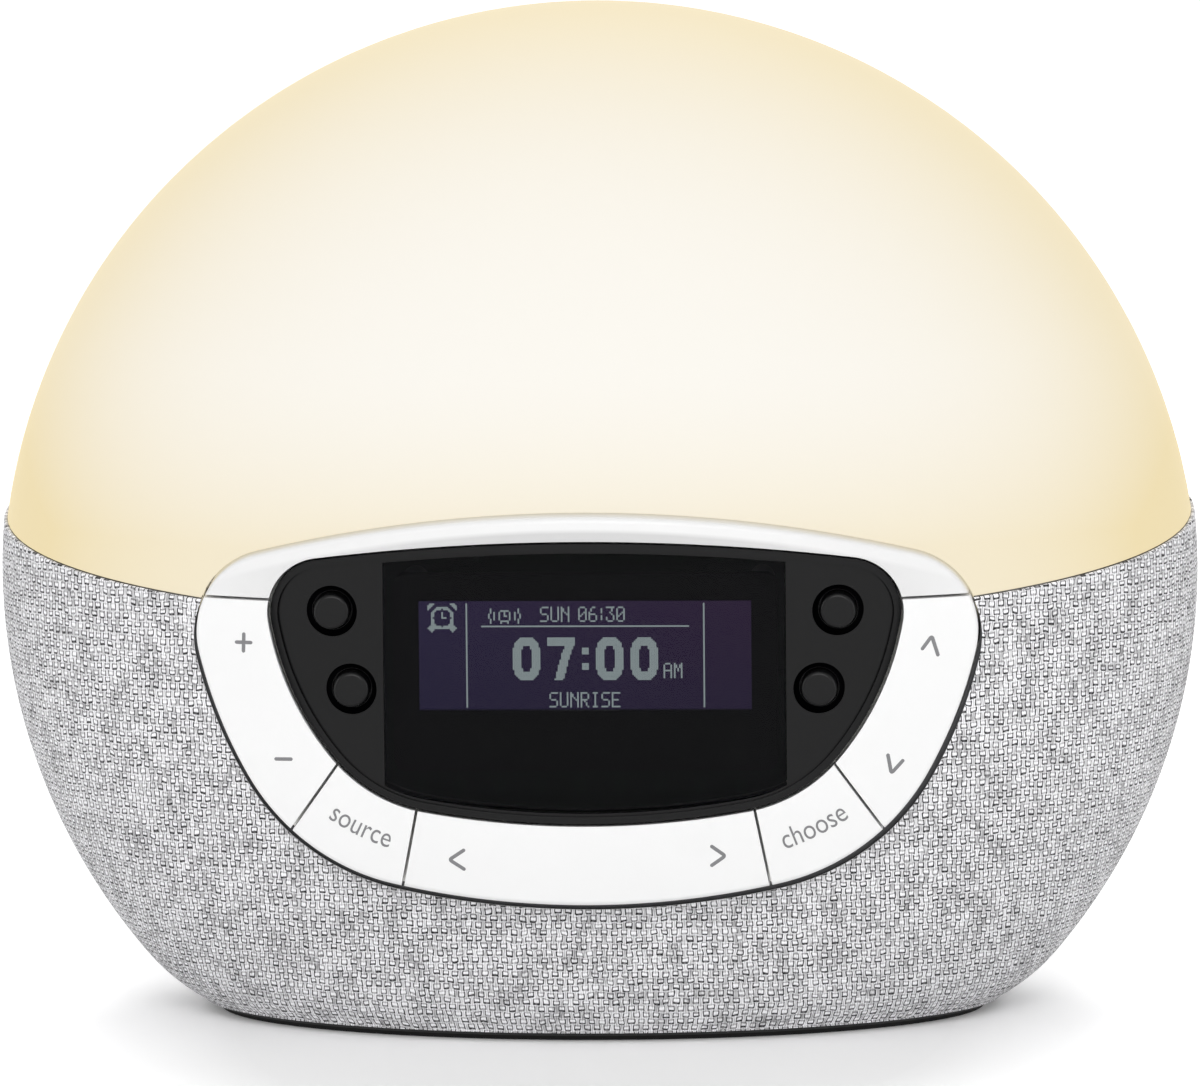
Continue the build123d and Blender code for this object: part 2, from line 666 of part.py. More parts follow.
def speaker_basket():
    """Flange and tapering cage with four windows."""
    flange = Cylinder(27, 1.2, align=(MID, MID, Align.MAX)) - Cylinder(22.4, 3)
    outer = Pos(0, 0, -1.2 - 5.5) * Cone(12, 23.4, 11)
    inner = Pos(0, 0, -1.2 - 5.5) * Cone(11, 22.4, 11)
    cage = outer - inner
    for i in range(4):
        cage -= Rot(0, 0, 45 + 90 * i) * Pos(18, 0, -7) * Box(12, 13, 6)
    back = Pos(0, 0, -13.2) * (Cylinder(12, 1.0, align=(MID, MID, MIN)) - Cylinder(6.5, 2.2))
    return Pos(0, 0, -1.0) * (flange + cage + back)


def speaker_surround():
    roll = Pos(20.6, 0) * (Circle(1.7) - Circle(1.2)) & Pos(20.6, 1) * Rectangle(6, 2)
    lip = Pos(21.9, 0.2) * Rectangle(0.8, 0.4)
    ring = revolve(Plane.XZ * (roll + lip), Axis.Z)
    return Pos(0, 0, -2.1) * ring


def speaker_cone():
    """Paper cone with its dust cap."""
    outer = Pos(0, 0, -4.2) * Cone(7.0, 19.0, 8.4)
    inner = Pos(0, 0, -3.6) * Cone(7.0, 19.0, 8.4)
    cap = Pos(0, 0, -6.6) * (Sphere(8.6) - Sphere(8.1)) & Pos(0, 0, -3.0) * Cylinder(9, 4, align=(MID, MID, MIN))
    cone = (outer - inner) & Pos(0, 0, -8.4) * Cylinder(18.9, 8.4, align=(MID, MID, MIN))
    return Pos(0, 0, -2.2) * (cone + Pos(0, 0, -4.1) * cap)


def speaker_magnet():
    magnet = Cylinder(14, 7, align=(MID, MID, Align.MAX)) + Cylinder(11, 9, align=(MID, MID, Align.MAX))
    return Pos(0, 0, -14.3) * magnet


# ---- leads -----------------------------------------------------------------------
def lead(points, bend, radius):
    """Round lead along straight runs joined by arcs."""
    path = FilletPolyline(*points, radius=bend)
    start = Plane(origin=path @ 0, z_dir=path % 0)
    return sweep(start * Circle(radius), path)


def led_leads():
    top = SEAM_Z + LAMP + 5
    return [lead([(32 + s, 2, BOARD_TOP + 7), (32 + s, 2, 40), (LED_R + 8 + s, 0, 60), (LED_R + 8 + s, 0, top - 4)], 8, 0.7)
            for s in (-1.0, 1.0)]


def speaker_leads():
    runs = []
    for side in (-1, 1):
        x = side * 18
        tag = side * (SPEAKER_X - 2.3)
        route = [(x, -13, BOARD_TOP + 6), (x, -13, 24), (side * 46, -18, 34), (side * 68, -22.5, 41), (tag, -22.5, 41)]
        runs.append(lead(route, 5, 0.8))
    return runs


def console_ribbon():
    """Flat ribbon from the key board through the cover's slot to the main board."""
    path = FilletPolyline((BOARD_Y + BOARD_THICK + 0.2, 45), (-25, 45), (-17, 30), (-13, 20), (-13, BOARD_TOP + 6), radius=2)
    return extrude(Plane.YZ * trace(path, line_width=0.5), 8, both=True)


# ---- write one file for each part ----------------------------------------------------
def keys():
    """The moving keys, cut from one layer so that they match at the gaps."""
    blanks = ring_layer(RING_PROUD, RING_PROUD - KEY_THICK).solids()
    parts = {
        "volume_rocker": rocker(nearest(blanks, -57, 62), [(-x, z) for x, z in SIDE_MARKS], side_pivot(-1)),
        "updown_rocker": rocker(nearest(blanks, 57, 62), SIDE_MARKS, side_pivot(1)),
        "arrow_rocker": rocker(nearest(blanks, 0, 35), both_sides([ARROW_MARK]), arrow_pivot()),
        "left_key": push_key(nearest(blanks, -39, 41), (-KEY_CENTRE[0], KEY_CENTRE[1])),
        "right_key": push_key(nearest(blanks, 39, 41), KEY_CENTRE),
    }
    return parts


def top_trim():
    return nearest(ring_layer(RING_PROUD, DECK + CLEAR).solids(), 0, 90)


def build():
    parts = {
        "dome_diffuser": dome_diffuser(), "dome_gasket": dome_gasket(), "light_tray": light_tray(),
        "case_screws": case_screws(), "led_board": led_board(), "led_chips": led_chips(),
        "led_heat_sink": led_heat_sink(), "fabric_wrap": fabric_wrap(), "base_shell": base_shell(),
        "base_plate": base_plate(), "foot_pad": foot_pad(),
        "console_frame": console_frame(), "top_trim": top_trim(), "black_panel": black_panel(),
        "display_window": display_window(), "display_bezel": display_bezel(), "display_cell": display_cell(),
        "display_board": display_board(), "display_spacers": display_spacers(), "key_board": key_board(),
        "tact_switches": tact_switches(), "rocker_pins": rocker_pins(), "console_cover": console_cover(),
        "main_board": main_board(), "board_screws": board_screws(),
        "main_processor": main_processor(), "radio_module": radio_module(), "capacitors": capacitors(),
        "board_connectors": board_connectors(), "cell_holder": cell_holder(), "backup_cell": backup_cell(),
        "socket_panel": socket_panel(), "power_jack": power_jack(), "aerial_gland": aerial_gland(),
        "led_leads": led_leads(), "speaker_leads": speaker_leads(), "console_ribbon": console_ribbon(),
        "volume_plungers": plungers([(-x, z) for x, z in SIDE_MARKS]), "updown_plungers": plungers(SIDE_MARKS),
        "arrow_plungers": plungers(both_sides([ARROW_MARK])),
        "left_key_plunger": plungers([(-KEY_CENTRE[0], KEY_CENTRE[1])]), "right_key_plunger": plungers([KEY_CENTRE]),
    }
    parts.update(keys())
    for side, sign in (("left", -1), ("right", 1)):
        for level, (x, z) in BUTTONS.items():
            parts[f"button_{level}_{side}"] = round_button(sign * x, z)
            parts[f"button_{level}_{side}_plunger"] = plungers([(sign * x, z)])
    for piece in (speaker_gasket, speaker_basket, speaker_surround, speaker_cone, speaker_magnet):
        parts[f"{piece.__name__}s"] = [solid for sign in (-1, 1) for solid in (facing(sign) * piece()).solids()]
    return parts


def main():
    os.makedirs("parts", exist_ok=True)
    for name, shape in build().items():
        if isinstance(shape, list):
            shape = Compound(children=shape)
        export_step(shape, f"parts/{name}.step")
    for name, plane in pivots().items():
        print(name, [round(v, 4) for v in plane.origin], [round(v, 5) for v in plane.x_dir])


main()
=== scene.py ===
import json
from math import atan2, cos, pi, radians, sin, sqrt

import bpy
import bmesh
import numpy as np
from mathutils import Euler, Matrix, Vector


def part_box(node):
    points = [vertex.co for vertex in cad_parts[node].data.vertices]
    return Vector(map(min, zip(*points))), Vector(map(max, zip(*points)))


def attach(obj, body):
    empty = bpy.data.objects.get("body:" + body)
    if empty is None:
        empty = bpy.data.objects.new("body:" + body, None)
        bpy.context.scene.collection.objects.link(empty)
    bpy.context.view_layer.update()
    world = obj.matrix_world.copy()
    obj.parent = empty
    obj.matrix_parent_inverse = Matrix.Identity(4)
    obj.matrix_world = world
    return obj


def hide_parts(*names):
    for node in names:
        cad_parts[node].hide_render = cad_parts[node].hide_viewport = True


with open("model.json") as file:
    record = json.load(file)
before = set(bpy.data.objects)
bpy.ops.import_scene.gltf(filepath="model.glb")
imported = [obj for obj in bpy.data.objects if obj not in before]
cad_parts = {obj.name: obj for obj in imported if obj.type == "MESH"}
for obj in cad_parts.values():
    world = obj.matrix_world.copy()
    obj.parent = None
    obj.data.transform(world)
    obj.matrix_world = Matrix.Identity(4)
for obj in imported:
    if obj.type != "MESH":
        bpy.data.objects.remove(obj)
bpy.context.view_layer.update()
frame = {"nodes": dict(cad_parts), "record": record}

MM = 0.001

# ---- sizes, in metres, from the frame and a few driving dimensions -------------------
CLOTH_LOW, CLOTH_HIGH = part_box("fabric_wrap")
HALF_W, HALF_D = CLOTH_HIGH[:2]     # half width and half depth of the cloth at its widest
BOTTOM_Z = CLOTH_LOW[2]
WIDEST_Z = 77.7 * MM
TURN_Z, TURN_IN = 10.0 * MM, 2.7 * MM           # below this height the body turns in, by this much
SEAM_Z, SEAM_TILT = 87.6 * MM, radians(11.1)    # seam plane: height at the middle, fall forwards
CLOTH = 0.75 * MM                   # thickness
DOME_W, DOME_H, DOME_Z = 105.0 * MM, 104.8 * MM, 72.7 * MM      # half axes and height of the centre
CONSOLE_Z, CONSOLE_H = 72.0 * MM, 138.0 * MM    # ellipsoid of the console: centre and half height
KEY_PROUD = 2.0 * MM                # how far the keys stand out from the body
TOP_Z, TOP_R = 94.8, 214.0          # upper arch of the console outline: crest and radius, in mm
HOLE_GROW = 0.65                    # how far the hole in the cloth is outside the console, in mm
HOLE_DROP = 1.1 * MM                # and how much lower it lies
HEM_RISE = 0.28 * MM                # the hem nearly touches the dome
INK = 0.05 * MM                     # how far printed marks stand proud
CELL_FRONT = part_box("display_cell")[0][1]
DISPLAY_W, DISPLAY_H, DISPLAY_Z = 57.2 * MM, 19.0 * MM, 70.0 * MM   # part of the cell that shows


# ---- shader values that Python operators work on --------------------------------------
class Value:
    """A socket of a finish; arithmetic on it adds Math nodes."""

    def __init__(self, finish, socket):
        self.finish, self.socket = finish, socket

    def math(self, operation, *others):
        return self.finish.add("ShaderNodeMath", {"operation": operation}, self, *others)

    def __add__(self, other):
        return self.math("ADD", other)

    def __sub__(self, other):
        return self.math("SUBTRACT", other)

    def __mul__(self, other):
        return self.math("MULTIPLY", other)

    def __truediv__(self, other):
        return self.math("DIVIDE", other)

    def __pow__(self, other):
        return self.math("POWER", other)

    def __rsub__(self, other):
        return self.finish.add("ShaderNodeMath", {"operation": "SUBTRACT"}, other, self)

    def __rtruediv__(self, other):
        return self.finish.add("ShaderNodeMath", {"operation": "DIVIDE"}, other, self)

    __radd__ = __add__
    __rmul__ = __mul__

    def clamp(self, low=0.0, high=1.0):
        return self.math("MAXIMUM", low).math("MINIMUM", high)


class Finish:
    """A node material under construction."""

    def __init__(self, name):
        self.material = bpy.data.materials.new(name)
        self.material.use_nodes = True
        self.tree = self.material.node_tree
        self.tree.nodes.clear()

    def feed(self, socket, value):
        if isinstance(value, Value):
            self.tree.links.new(value.socket, socket)
        else:
            socket.default_value = value

    def add(self, kind, settings=None, *values, out=0, sockets=None):
        """One node: its settings, its inputs by position and by name; gives back one output."""
        node = self.tree.nodes.new(kind)
        for name, value in (settings or {}).items():
            setattr(node, name, value)
        for index, value in enumerate(values):
            self.feed(node.inputs[index], value)
        for name, value in (sockets or {}).items():
            self.feed(node.inputs[name], value)
        return Value(self, node.outputs[out])

    def split(self, vector):
        node = self.tree.nodes.new("ShaderNodeSeparateXYZ")
        self.feed(node.inputs[0], vector)
        return [Value(self, out) for out in node.outputs]

    def join(self, x, y, z):
        return self.add("ShaderNodeCombineXYZ", None, x, y, z)

    def place(self):
        return self.add("ShaderNodeTexCoord", out="Object")

    def noise(self, scale, detail=2.0, vector=None, out=0):
        return self.add("ShaderNodeTexNoise", out=out, sockets={
            "Vector": vector or self.place(), "Scale": scale, "Detail": detail})

    def mix(self, factor, first, second):
        node = self.tree.nodes.new("ShaderNodeMix")
        node.data_type = "RGBA"
        for index, value in ((0, factor), (6, first), (7, second)):
            self.feed(node.inputs[index], value)
        return Value(self, node.outputs[2])

    def surface(self, sockets, height=None, depth=0.0):
        """Principled surface as the output, with an optional bump."""
        if height is not None:
            sockets["Normal"] = self.add("ShaderNodeBump", None, sockets={
                "Height": height, "Distance": depth, "Strength": 1.0})
        shader = self.add("ShaderNodeBsdfPrincipled", sockets=sockets)
        out = self.tree.nodes.new("ShaderNodeOutputMaterial")
        self.feed(out.inputs["Surface"], shader)
        return self.material


def rgb(red, green, blue):
    """Display values 0-255 as a linear colour."""
    def linear(value):
        value /= 255
        return value / 12.92 if value <= 0.04045 else ((value + 0.055) / 1.055) ** 2.4
    return (linear(red), linear(green), linear(blue), 1.0)


def shade(colour, factor):
    return tuple(channel * factor for channel in colour[:3]) + (1.0,)


# ---- finishes ----------------------------------------------------------------------
BLACK, WHITE = (0.0, 0.0, 0.0, 1.0), (1.0, 1.0, 1.0, 1.0)
SPARK_GRAIN, SOFT_CLOUDS = 2600.0, 45.0         # noise scales, per metre
GRAIN_DEPTH = 0.012                 # mm
GLOSS_SPREAD = 0.1


def moulded(name, colour, rough, grain=GRAIN_DEPTH, coat=0.0, specular=0.5):
    """Moulded plastic: a fine spark-eroded grain and slightly uneven gloss."""
    f = Finish(name)
    fine = f.noise(SPARK_GRAIN, 3.0)
    broad = f.noise(SOFT_CLOUDS, 2.0)
    return f.surface({"Base Color": f.mix(broad * 0.5, colour, shade(colour, 0.93)),
                      "Roughness": (rough - GLOSS_SPREAD / 2) + GLOSS_SPREAD * broad,
                      "Coat Weight": coat, "Coat Roughness": 0.04,
                      "Specular IOR Level": specular}, fine, grain * MM)


# The trim's painted shade, a greyer band on its face, starts at the bevel's width, blends in, and
# ends this far to each side.
TRIM_BEVEL, TRIM_BLEND, TRIM_REACH = 2.0 * MM, 0.8 * MM, 66.0 * MM
# The trim's white, and the grey of its painted shade.
TRIM_EDGE, TRIM_PAINTED_SHADE = rgb(226, 226, 226), rgb(196, 196, 196)


def trim_with_painted_shade():
    """White trim with painted shade: its face, below the bevel along its upper arch, is painted
    greyer in the middle, where the real face turns under into shade.
    """
    f = Finish("trim_with_painted_shade")
    x, _, z = f.split(f.place())
    rise = z - (TOP_Z - TOP_R) * MM
    inward = TOP_R * MM - (x * x + rise * rise) ** 0.5
    # painted shade: a greyer band on the trim's face, over the middle of its arch
    face = ((inward - TRIM_BEVEL) / TRIM_BLEND).clamp() * (1.0 - (x / TRIM_REACH) ** 2.0).clamp()
    return f.surface({"Base Color": f.mix(face, TRIM_EDGE, TRIM_PAINTED_SHADE), "Roughness": 0.4},
                     f.noise(SPARK_GRAIN, 3.0), GRAIN_DEPTH * MM)


GLOW_WHITE, GLOW_WARM = rgb(250, 247, 240), rgb(241, 224, 180)
WARM_FOOT_TOP, WARM_FOOT_DEPTH = 120.0 * MM, 32.0 * MM      # where the dome grows warmer downwards
WARM_FOOT_SHARE, FULL_WARMTH = 0.68, 1.25
GLOW_STRENGTH, SELF_SHADE = 0.71, 0.75      # of the light, and of black in the plastic's own colour


def milky_glow():
    """Lit dome: near white in the middle, warmer towards the crest, the ends and the seam."""
    f = Finish("milky_glow")
    x, _, z = f.split(f.place())
    limb = ((x / DOME_W) ** 2.0 + ((z - DOME_Z) / DOME_H) ** 2.0) ** 3.0
    low = ((WARM_FOOT_TOP - z) / WARM_FOOT_DEPTH).clamp() ** 1.6
    warmth = limb + WARM_FOOT_SHARE * low + 0.03 * f.noise(30.0, 2.0)
    colour = f.mix((warmth / FULL_WARMTH).clamp(), GLOW_WHITE, GLOW_WARM)
    return f.surface({"Base Color": f.mix(SELF_SHADE, colour, BLACK), "Roughness": 0.55,
                      "Specular IOR Level": 0.08, "Emission Color": colour,
                      "Emission Strength": GLOW_STRENGTH}, f.noise(900.0, 2.0), 0.004 * MM)


# The weave. Places in a cell run from -0.5 to 0.5 across and up; odd cells show a weft dash, even
# ones a pair of warp threads.
WARP_PITCH, WEFT_PITCH = 0.88, 1.31     # cell of the cloth, in mm
STRAY, STRAY_SCALE = 0.9, 0.35          # how far the threads wander, in cells, and how often per mm
UNEVEN = 0.16                           # spread of a dash's height from cell to cell
DASH_WIDE, DASH_HIGH = (0.52, 0.06), (0.18, 0.07)       # half size and soft edge, across and up
GAP_BELOW, GAP_ABOVE, ABOVE_SHARE = (-0.32, 0.17), (0.31, 0.13), 0.5    # middle and half height
GAP_SIDE, SIDE_HIGH = (0.27, 0.10), (0.44, 0.10)        # beside a pair of warp threads: start, edge
# GAP_SHADE is the darkness of the painted shade in the gaps between threads.
GAP_LEAST, GAP_SPREAD, GAP_SHADE = 0.7, 1.2, 0.97       # strength, its spread, and darkness
CLOTH_LIGHT, DASH_LIGHT = 0.86, 0.20
YARN_SPREAD, HEATHER_SPREAD, STREAK_SPREAD, CELL_SPREAD = 0.8, 0.9, 1.4, 0.36
# The relief also darkens the cloth's colour: painted shade in the valleys between threads.
THREAD_FLOOR = 0.45                     # height of the valley between two warp threads
CLOTH_DARK, CLOTH_PALE = rgb(14, 12, 15), rgb(252, 251, 254)
WEAVE_DEPTH = 0.12 * MM


def basket_cloth():
    """Heather cloth: pairs of grey warp threads over bright weft dashes, chequered. The gaps
    between threads are bumps with painted shade in them: dark below each dash and fainter above it,
    and dark at the sides of each warp pair; the valleys between warp threads carry painted shade
    too."""
    f = Finish("basket_cloth")
    u, v, _ = f.split(f.add("ShaderNodeUVMap", {"uv_map": "weave"}))
    sway_u, sway_v, _ = f.split(f.noise(STRAY_SCALE, 2.0, f.join(u, v, 0.0), out=1))
    cu = u / WARP_PITCH + STRAY * sway_u
    cv = v / WEFT_PITCH + STRAY * sway_v
    iu, iv = cu.math("FLOOR"), cv.math("FLOOR")
    odd = ((iu + iv) * 0.5).math("FRACT") * 2.0
    even = 1.0 - odd

    def chance(layer):
        """A random number from 0 to 1 for each cell."""
        return f.add("ShaderNodeTexWhiteNoise", {"noise_dimensions": "3D"},
                     sockets={"Vector": f.join(iu, iv, layer)})

    def within(place, half, edge):
        """1 inside a half size, falling in a straight line to 0 over a soft edge."""
        return ((half - place) / edge).clamp()

    def ridge(place, middle, half):
        """1 in the middle, falling along a parabola to 0 at half its height away."""
        return (1.0 - ((place - middle) / half) ** 2.0).clamp()

    fu = cu - iu - 0.5
    fv = cv - iv - 0.5 + UNEVEN * (chance(4.0) - 0.5)
    au, av = fu.math("ABSOLUTE"), fv.math("ABSOLUTE")
    threads = (fu * (2 * pi)).math("SINE").math("ABSOLUTE") ** 0.5
    dash = within(av, *DASH_HIGH) * within(au, *DASH_WIDE) * odd
    rows = (ridge(fv, *GAP_BELOW) + ridge(fv, *GAP_ABOVE) * ABOVE_SHARE) * odd
    side = ((au - GAP_SIDE[0]) / GAP_SIDE[1]).clamp() * within(av, *SIDE_HIGH) * even
    gap = ((rows * (0.5 + 0.8 * au) + side) * (GAP_LEAST + GAP_SPREAD * chance(1.0))).clamp()
    yarn = f.noise(1.0, 3.0, f.join(iu * 0.9, v * 0.16, 3.0)) * even \
        + f.noise(1.0, 3.0, f.join(u * 0.12, iv * 0.9, 9.0)) * odd
    heather = f.noise(1.0, 4.0, f.join(u * 0.22, v * 0.16, 5.0))
    streak = f.noise(1.0, 2.0, f.join(u * 4.5, v * 0.7, 7.0))
    tone = CLOTH_LIGHT + DASH_LIGHT * dash
    for pattern, spread in ((yarn, YARN_SPREAD), (heather, HEATHER_SPREAD),
                            (streak, STREAK_SPREAD), (chance(2.0), CELL_SPREAD)):
        tone = tone + (pattern - 0.5) * spread
    relief_and_shade = dash + (1.0 - dash) * (THREAD_FLOOR + (1 - THREAD_FLOOR) * threads)
    # Painted shade: the colour darkens in the valleys of the relief and in the gaps between
    # threads.
    lit = (tone.clamp(0.05, 1.1) * relief_and_shade * (1.0 - GAP_SHADE * gap)).clamp()
    return f.surface({"Base Color": f.mix(lit, CLOTH_DARK, CLOTH_PALE), "Roughness": 0.92,
                      "Specular IOR Level": 0.15, "Sheen Weight": 0.15, "Sheen Roughness": 0.5},
                     (relief_and_shade * (1.0 - gap)).clamp(), WEAVE_DEPTH)


def smoked_glass():
    """Dark window whose two polished faces each let a third of the light through."""
    f = Finish("smoked_window")
    tint = f.mix(0.5 * f.noise(60.0), rgb(9, 9, 11), rgb(6, 6, 8))
    return f.surface({"Base Color": tint, "Roughness": 0.06, "Alpha": 0.66,
                      "Specular IOR Level": 0.06})


CELL_W = 60.0 * MM
CELL_LEFT, CELL_RIGHT, CELL_FOOT = rgb(108, 94, 156), rgb(116, 84, 138), rgb(84, 78, 128)
DOT_BRIGHT, DOT_DIM = rgb(226, 244, 246), rgb(204, 224, 228)


def lit_cell():
    """Display cell: a faint violet glow, redder at the right and bluer towards the foot."""
    f = Finish("display_cell_glow")
    x, _, z = f.split(f.place())
    across = (x / CELL_W + 0.5).clamp()
    rise = ((z - DISPLAY_Z) / DISPLAY_H + 0.5).clamp()
    glow = f.mix(across, CELL_LEFT, CELL_RIGHT)
    glow = f.mix((1.0 - rise) * 0.5 + 0.2 * f.noise(120.0), glow, CELL_FOOT)
    return f.surface({"Base Color": rgb(12, 10, 18), "Roughness": 0.25, "Emission Color": glow,
                      "Emission Strength": 1.0})


def lit_dots():
    """Lit dots of the display, bright enough to show through the smoked window."""
    f = Finish("display_dots")
    glow = f.mix(0.5 * f.noise(900.0), DOT_BRIGHT, DOT_DIM)
    return f.surface({"Base Color": rgb(120, 125, 125), "Roughness": 0.5, "Emission Color": glow,
                      "Emission Strength": 2.35})


METAL_SPREAD = 0.16                 # how far the roughness goes up and down in all
LINES_CLOSER = 12.0                 # how many times closer the lines lie up and down than across


def metal(name, colour, rough):
    """Bare metal with fine drawn lines, which lie level."""
    f = Finish(name)
    x, y, z = f.split(f.place())
    lines = f.noise(700.0, 3.0, f.join(x, y, z * LINES_CLOSER))
    return f.surface({"Base Color": f.mix(lines, colour, shade(colour, 0.8)), "Metallic": 1.0,
                      "Roughness": (rough - METAL_SPREAD / 2) + METAL_SPREAD * lines},
                     lines, 0.01 * MM)


TRACKS_ACROSS, TRACKS_UP = 900.0, 700.0


def circuit(name, colour):
    """Lacquered board with copper tracks showing through, where two waves are both high."""
    f = Finish(name)
    x, y, z = f.split(f.place())
    waves = (x * TRACKS_ACROSS).math("SINE") * (y * TRACKS_UP + z * TRACKS_UP).math("SINE")
    track = waves.math("GREATER_THAN", 0.55)
    base = f.mix(track * 0.6, colour, shade(colour, 1.9))
    return f.surface({"Base Color": base, "Roughness": 0.35 + 0.1 * f.noise(200.0),
                      "Coat Weight": 0.4, "Coat Roughness": 0.1}, track, 0.02 * MM)


def soft_rubber(name, colour):
    """Dull rubber or lead covering with a little dust in it."""
    f = Finish(name)
    dust = f.noise(300.0, 4.0)
    return f.surface({"Base Color": f.mix(dust * 0.35, colour, shade(colour, 1.9)),
                      "Roughness": 0.78 + 0.12 * dust, "Specular IOR Level": 0.3},
                     f.noise(1500.0), 0.02 * MM)


def pressed_paper():
    """Dark fibrous paper of a speaker cone."""
    f = Finish("pressed_paper")
    fibre = f.noise(1200.0, 5.0)
    return f.surface({"Base Color": f.mix(fibre, rgb(28, 28, 28), rgb(58, 57, 55)),
                      "Roughness": 0.95}, fibre, 0.05 * MM)


FINISHES = {
    "milky_dome": milky_glow(),
    "white_key": moulded("white_key", rgb(236, 236, 236), 0.4),
    "white_inner": moulded("white_inner", rgb(236, 236, 232), 0.5),
    "cloth": basket_cloth(),
    # The shell's grey is kept dark so that it also serves as painted shade in the gaps where it
    # shows, round the console and at the seam.
    "grey_shell": moulded("grey_shell", rgb(70, 70, 72), 0.6),
    "black_base": moulded("black_base", rgb(24, 24, 25), 0.5),
    "black_gloss": moulded("black_gloss", rgb(8, 8, 9), 0.3, grain=0.001, specular=0.2),
    "smoked_window": smoked_glass(),
    "display_glass": lit_cell(),
    "black_rubber": soft_rubber("black_rubber", rgb(26, 26, 26)),
    "steel": metal("steel", rgb(190, 190, 192), 0.3),
    "aluminium": metal("aluminium", rgb(206, 207, 210), 0.38),
    "board_green": circuit("board_green", rgb(24, 84, 50)),
    "board_white": circuit("board_white", rgb(225, 225, 222)),
    "chip_black": moulded("chip_black", rgb(30, 30, 32), 0.6, grain=0.03),
    "led_yellow": moulded("led_yellow", rgb(240, 214, 120), 0.2, coat=0.5),
    "shield_tin": metal("shield_tin", rgb(196, 196, 192), 0.25),
    "paper_cone": pressed_paper(),
    "ferrite": moulded("ferrite", rgb(52, 52, 54), 0.75, grain=0.06),
    "lead_red": soft_rubber("lead_red", rgb(168, 30, 24)),
    "ribbon_grey": soft_rubber("ribbon_grey", rgb(176, 176, 176)),
    "cap_blue": metal("cap_blue", rgb(52, 58, 100), 0.35),
}
# Near-black sheet without gloss in the button wells: painted shade.
WELL_PAINTED_SHADE = moulded("well_painted_shade", rgb(4, 4, 5), 0.9, specular=0.0)
INK_GREY = moulded("printed_grey", rgb(122, 122, 124), 0.55)
# The top trim takes a finish with painted shade on its face.
OWN_FINISH = {"top_trim": trim_with_painted_shade()}    # nodes whose finish differs from their slot's


def dress_nodes():
    """Every CAD node takes its own finish, or that of its slot."""
    for entry in frame["record"]["subparts"]:
        node = frame["nodes"][entry["node"]]
        node.data.materials.clear()
        finish = OWN_FINISH.get(entry["node"]) or FINISHES[entry["material_slot"]]
        node.data.materials.append(finish)


# ---- mesh building -------------------------------------------------------------------
def new_object(name, points, faces):
    """A mesh object at the origin."""
    mesh = bpy.data.meshes.new(name)
    mesh.from_pydata([tuple(p) for p in points], [], [tuple(f) for f in faces])
    mesh.update()
    made = bpy.data.objects.new(name, mesh)
    bpy.context.scene.collection.objects.link(made)
    return made


def new_piece(name, points, faces, material, body):
    """A visible mesh that rides on a body."""
    piece = new_object(name, points, faces)
    piece.data.materials.append(material)
    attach(piece, body)
    return piece


SAME_POINT = 1e-7


def mend(mesh, merge=True, outwards=True):
    """Merges points of a mesh that coincide, and turns its faces outwards."""
    work = bmesh.new()
    work.from_mesh(mesh)
    if merge:
        bmesh.ops.remove_doubles(work, verts=work.verts, dist=SAME_POINT)
    if outwards:
        bmesh.ops.recalc_face_normals(work, faces=work.faces)
    work.to_mesh(mesh)
    work.free()


def grid_faces(rows, columns):
    """Quads of a grid of rows x columns points, whose last column joins the first."""
    row = np.arange(rows - 1)[:, None]
    column = np.arange(columns)[None, :]
    after = (column + 1) % columns
    quads = np.stack([row * columns + column, row * columns + after,
                      (row + 1) * columns + after, (row + 1) * columns + column], axis=-1)
    return quads.reshape(-1, 4)


def smooth(piece, angle=40):
    """Smooth shading, with edges sharper than an angle in degrees kept sharp."""
    mesh = piece.data
    mesh.polygons.foreach_set("use_smooth", [True] * len(mesh.polygons))
    mesh.set_sharp_from_angle(angle=radians(angle))


def settle(piece):
    """Applies a piece's modifiers."""
    graph = bpy.context.evaluated_depsgraph_get()
    graph.update()
    done = bpy.data.meshes.new_from_object(piece.evaluated_get(graph), depsgraph=graph)
    piece.modifiers.clear()
    old = piece.data
    piece.data = done
    bpy.data.meshes.remove(old)


def console_y(x, z):
    """Y of the faces of the keys, an ellipsoid that is taller than the body."""
    wide, deep, tall = HALF_W + KEY_PROUD, HALF_D + KEY_PROUD, CONSOLE_H + KEY_PROUD
    return -deep * np.sqrt(1 - (x / wide) ** 2 - ((z - CONSOLE_Z) / tall) ** 2)


# ---- cloth cover ---------------------------------------------------------------------
def body_half_width(z):
    """Circle of radius HALF_W about WIDEST_Z. Below TURN_Z an arc leaves it, tangent to it, and
    ends at the foot TURN_IN further in."""
    circle = np.sqrt(HALF_W**2 - (z - WIDEST_Z) ** 2)
    x1 = sqrt(HALF_W**2 - (TURN_Z - WIDEST_Z) ** 2)
    x0 = sqrt(HALF_W**2 - (BOTTOM_Z - WIDEST_Z) ** 2) - TURN_IN
    normal = np.array([-x1, WIDEST_Z - TURN_Z]) / HALF_W
    run = np.array([x0 - x1, BOTTOM_Z - TURN_Z])
    radius = run.dot(run) / (2 * normal.dot(run))
    centre = np.array([x1, TURN_Z]) + radius * normal
    arc = centre[0] + np.sqrt(np.maximum(radius**2 - (z - centre[1]) ** 2, 0))
    return np.where(z < TURN_Z, arc, circle)


SEAM_ROUNDS = 20


def seam_height(turn):
    """Height of the tilted seam plane where it meets the body at an angle from the front. It is
    found in rounds, because the body's width there depends on the height."""
    z = np.full_like(turn, SEAM_Z)
    for _ in range(SEAM_ROUNDS):
        deep = body_half_width(z) * HALF_D / HALF_W
        z = SEAM_Z - deep * np.cos(turn) * np.tan(SEAM_TILT)
    return z


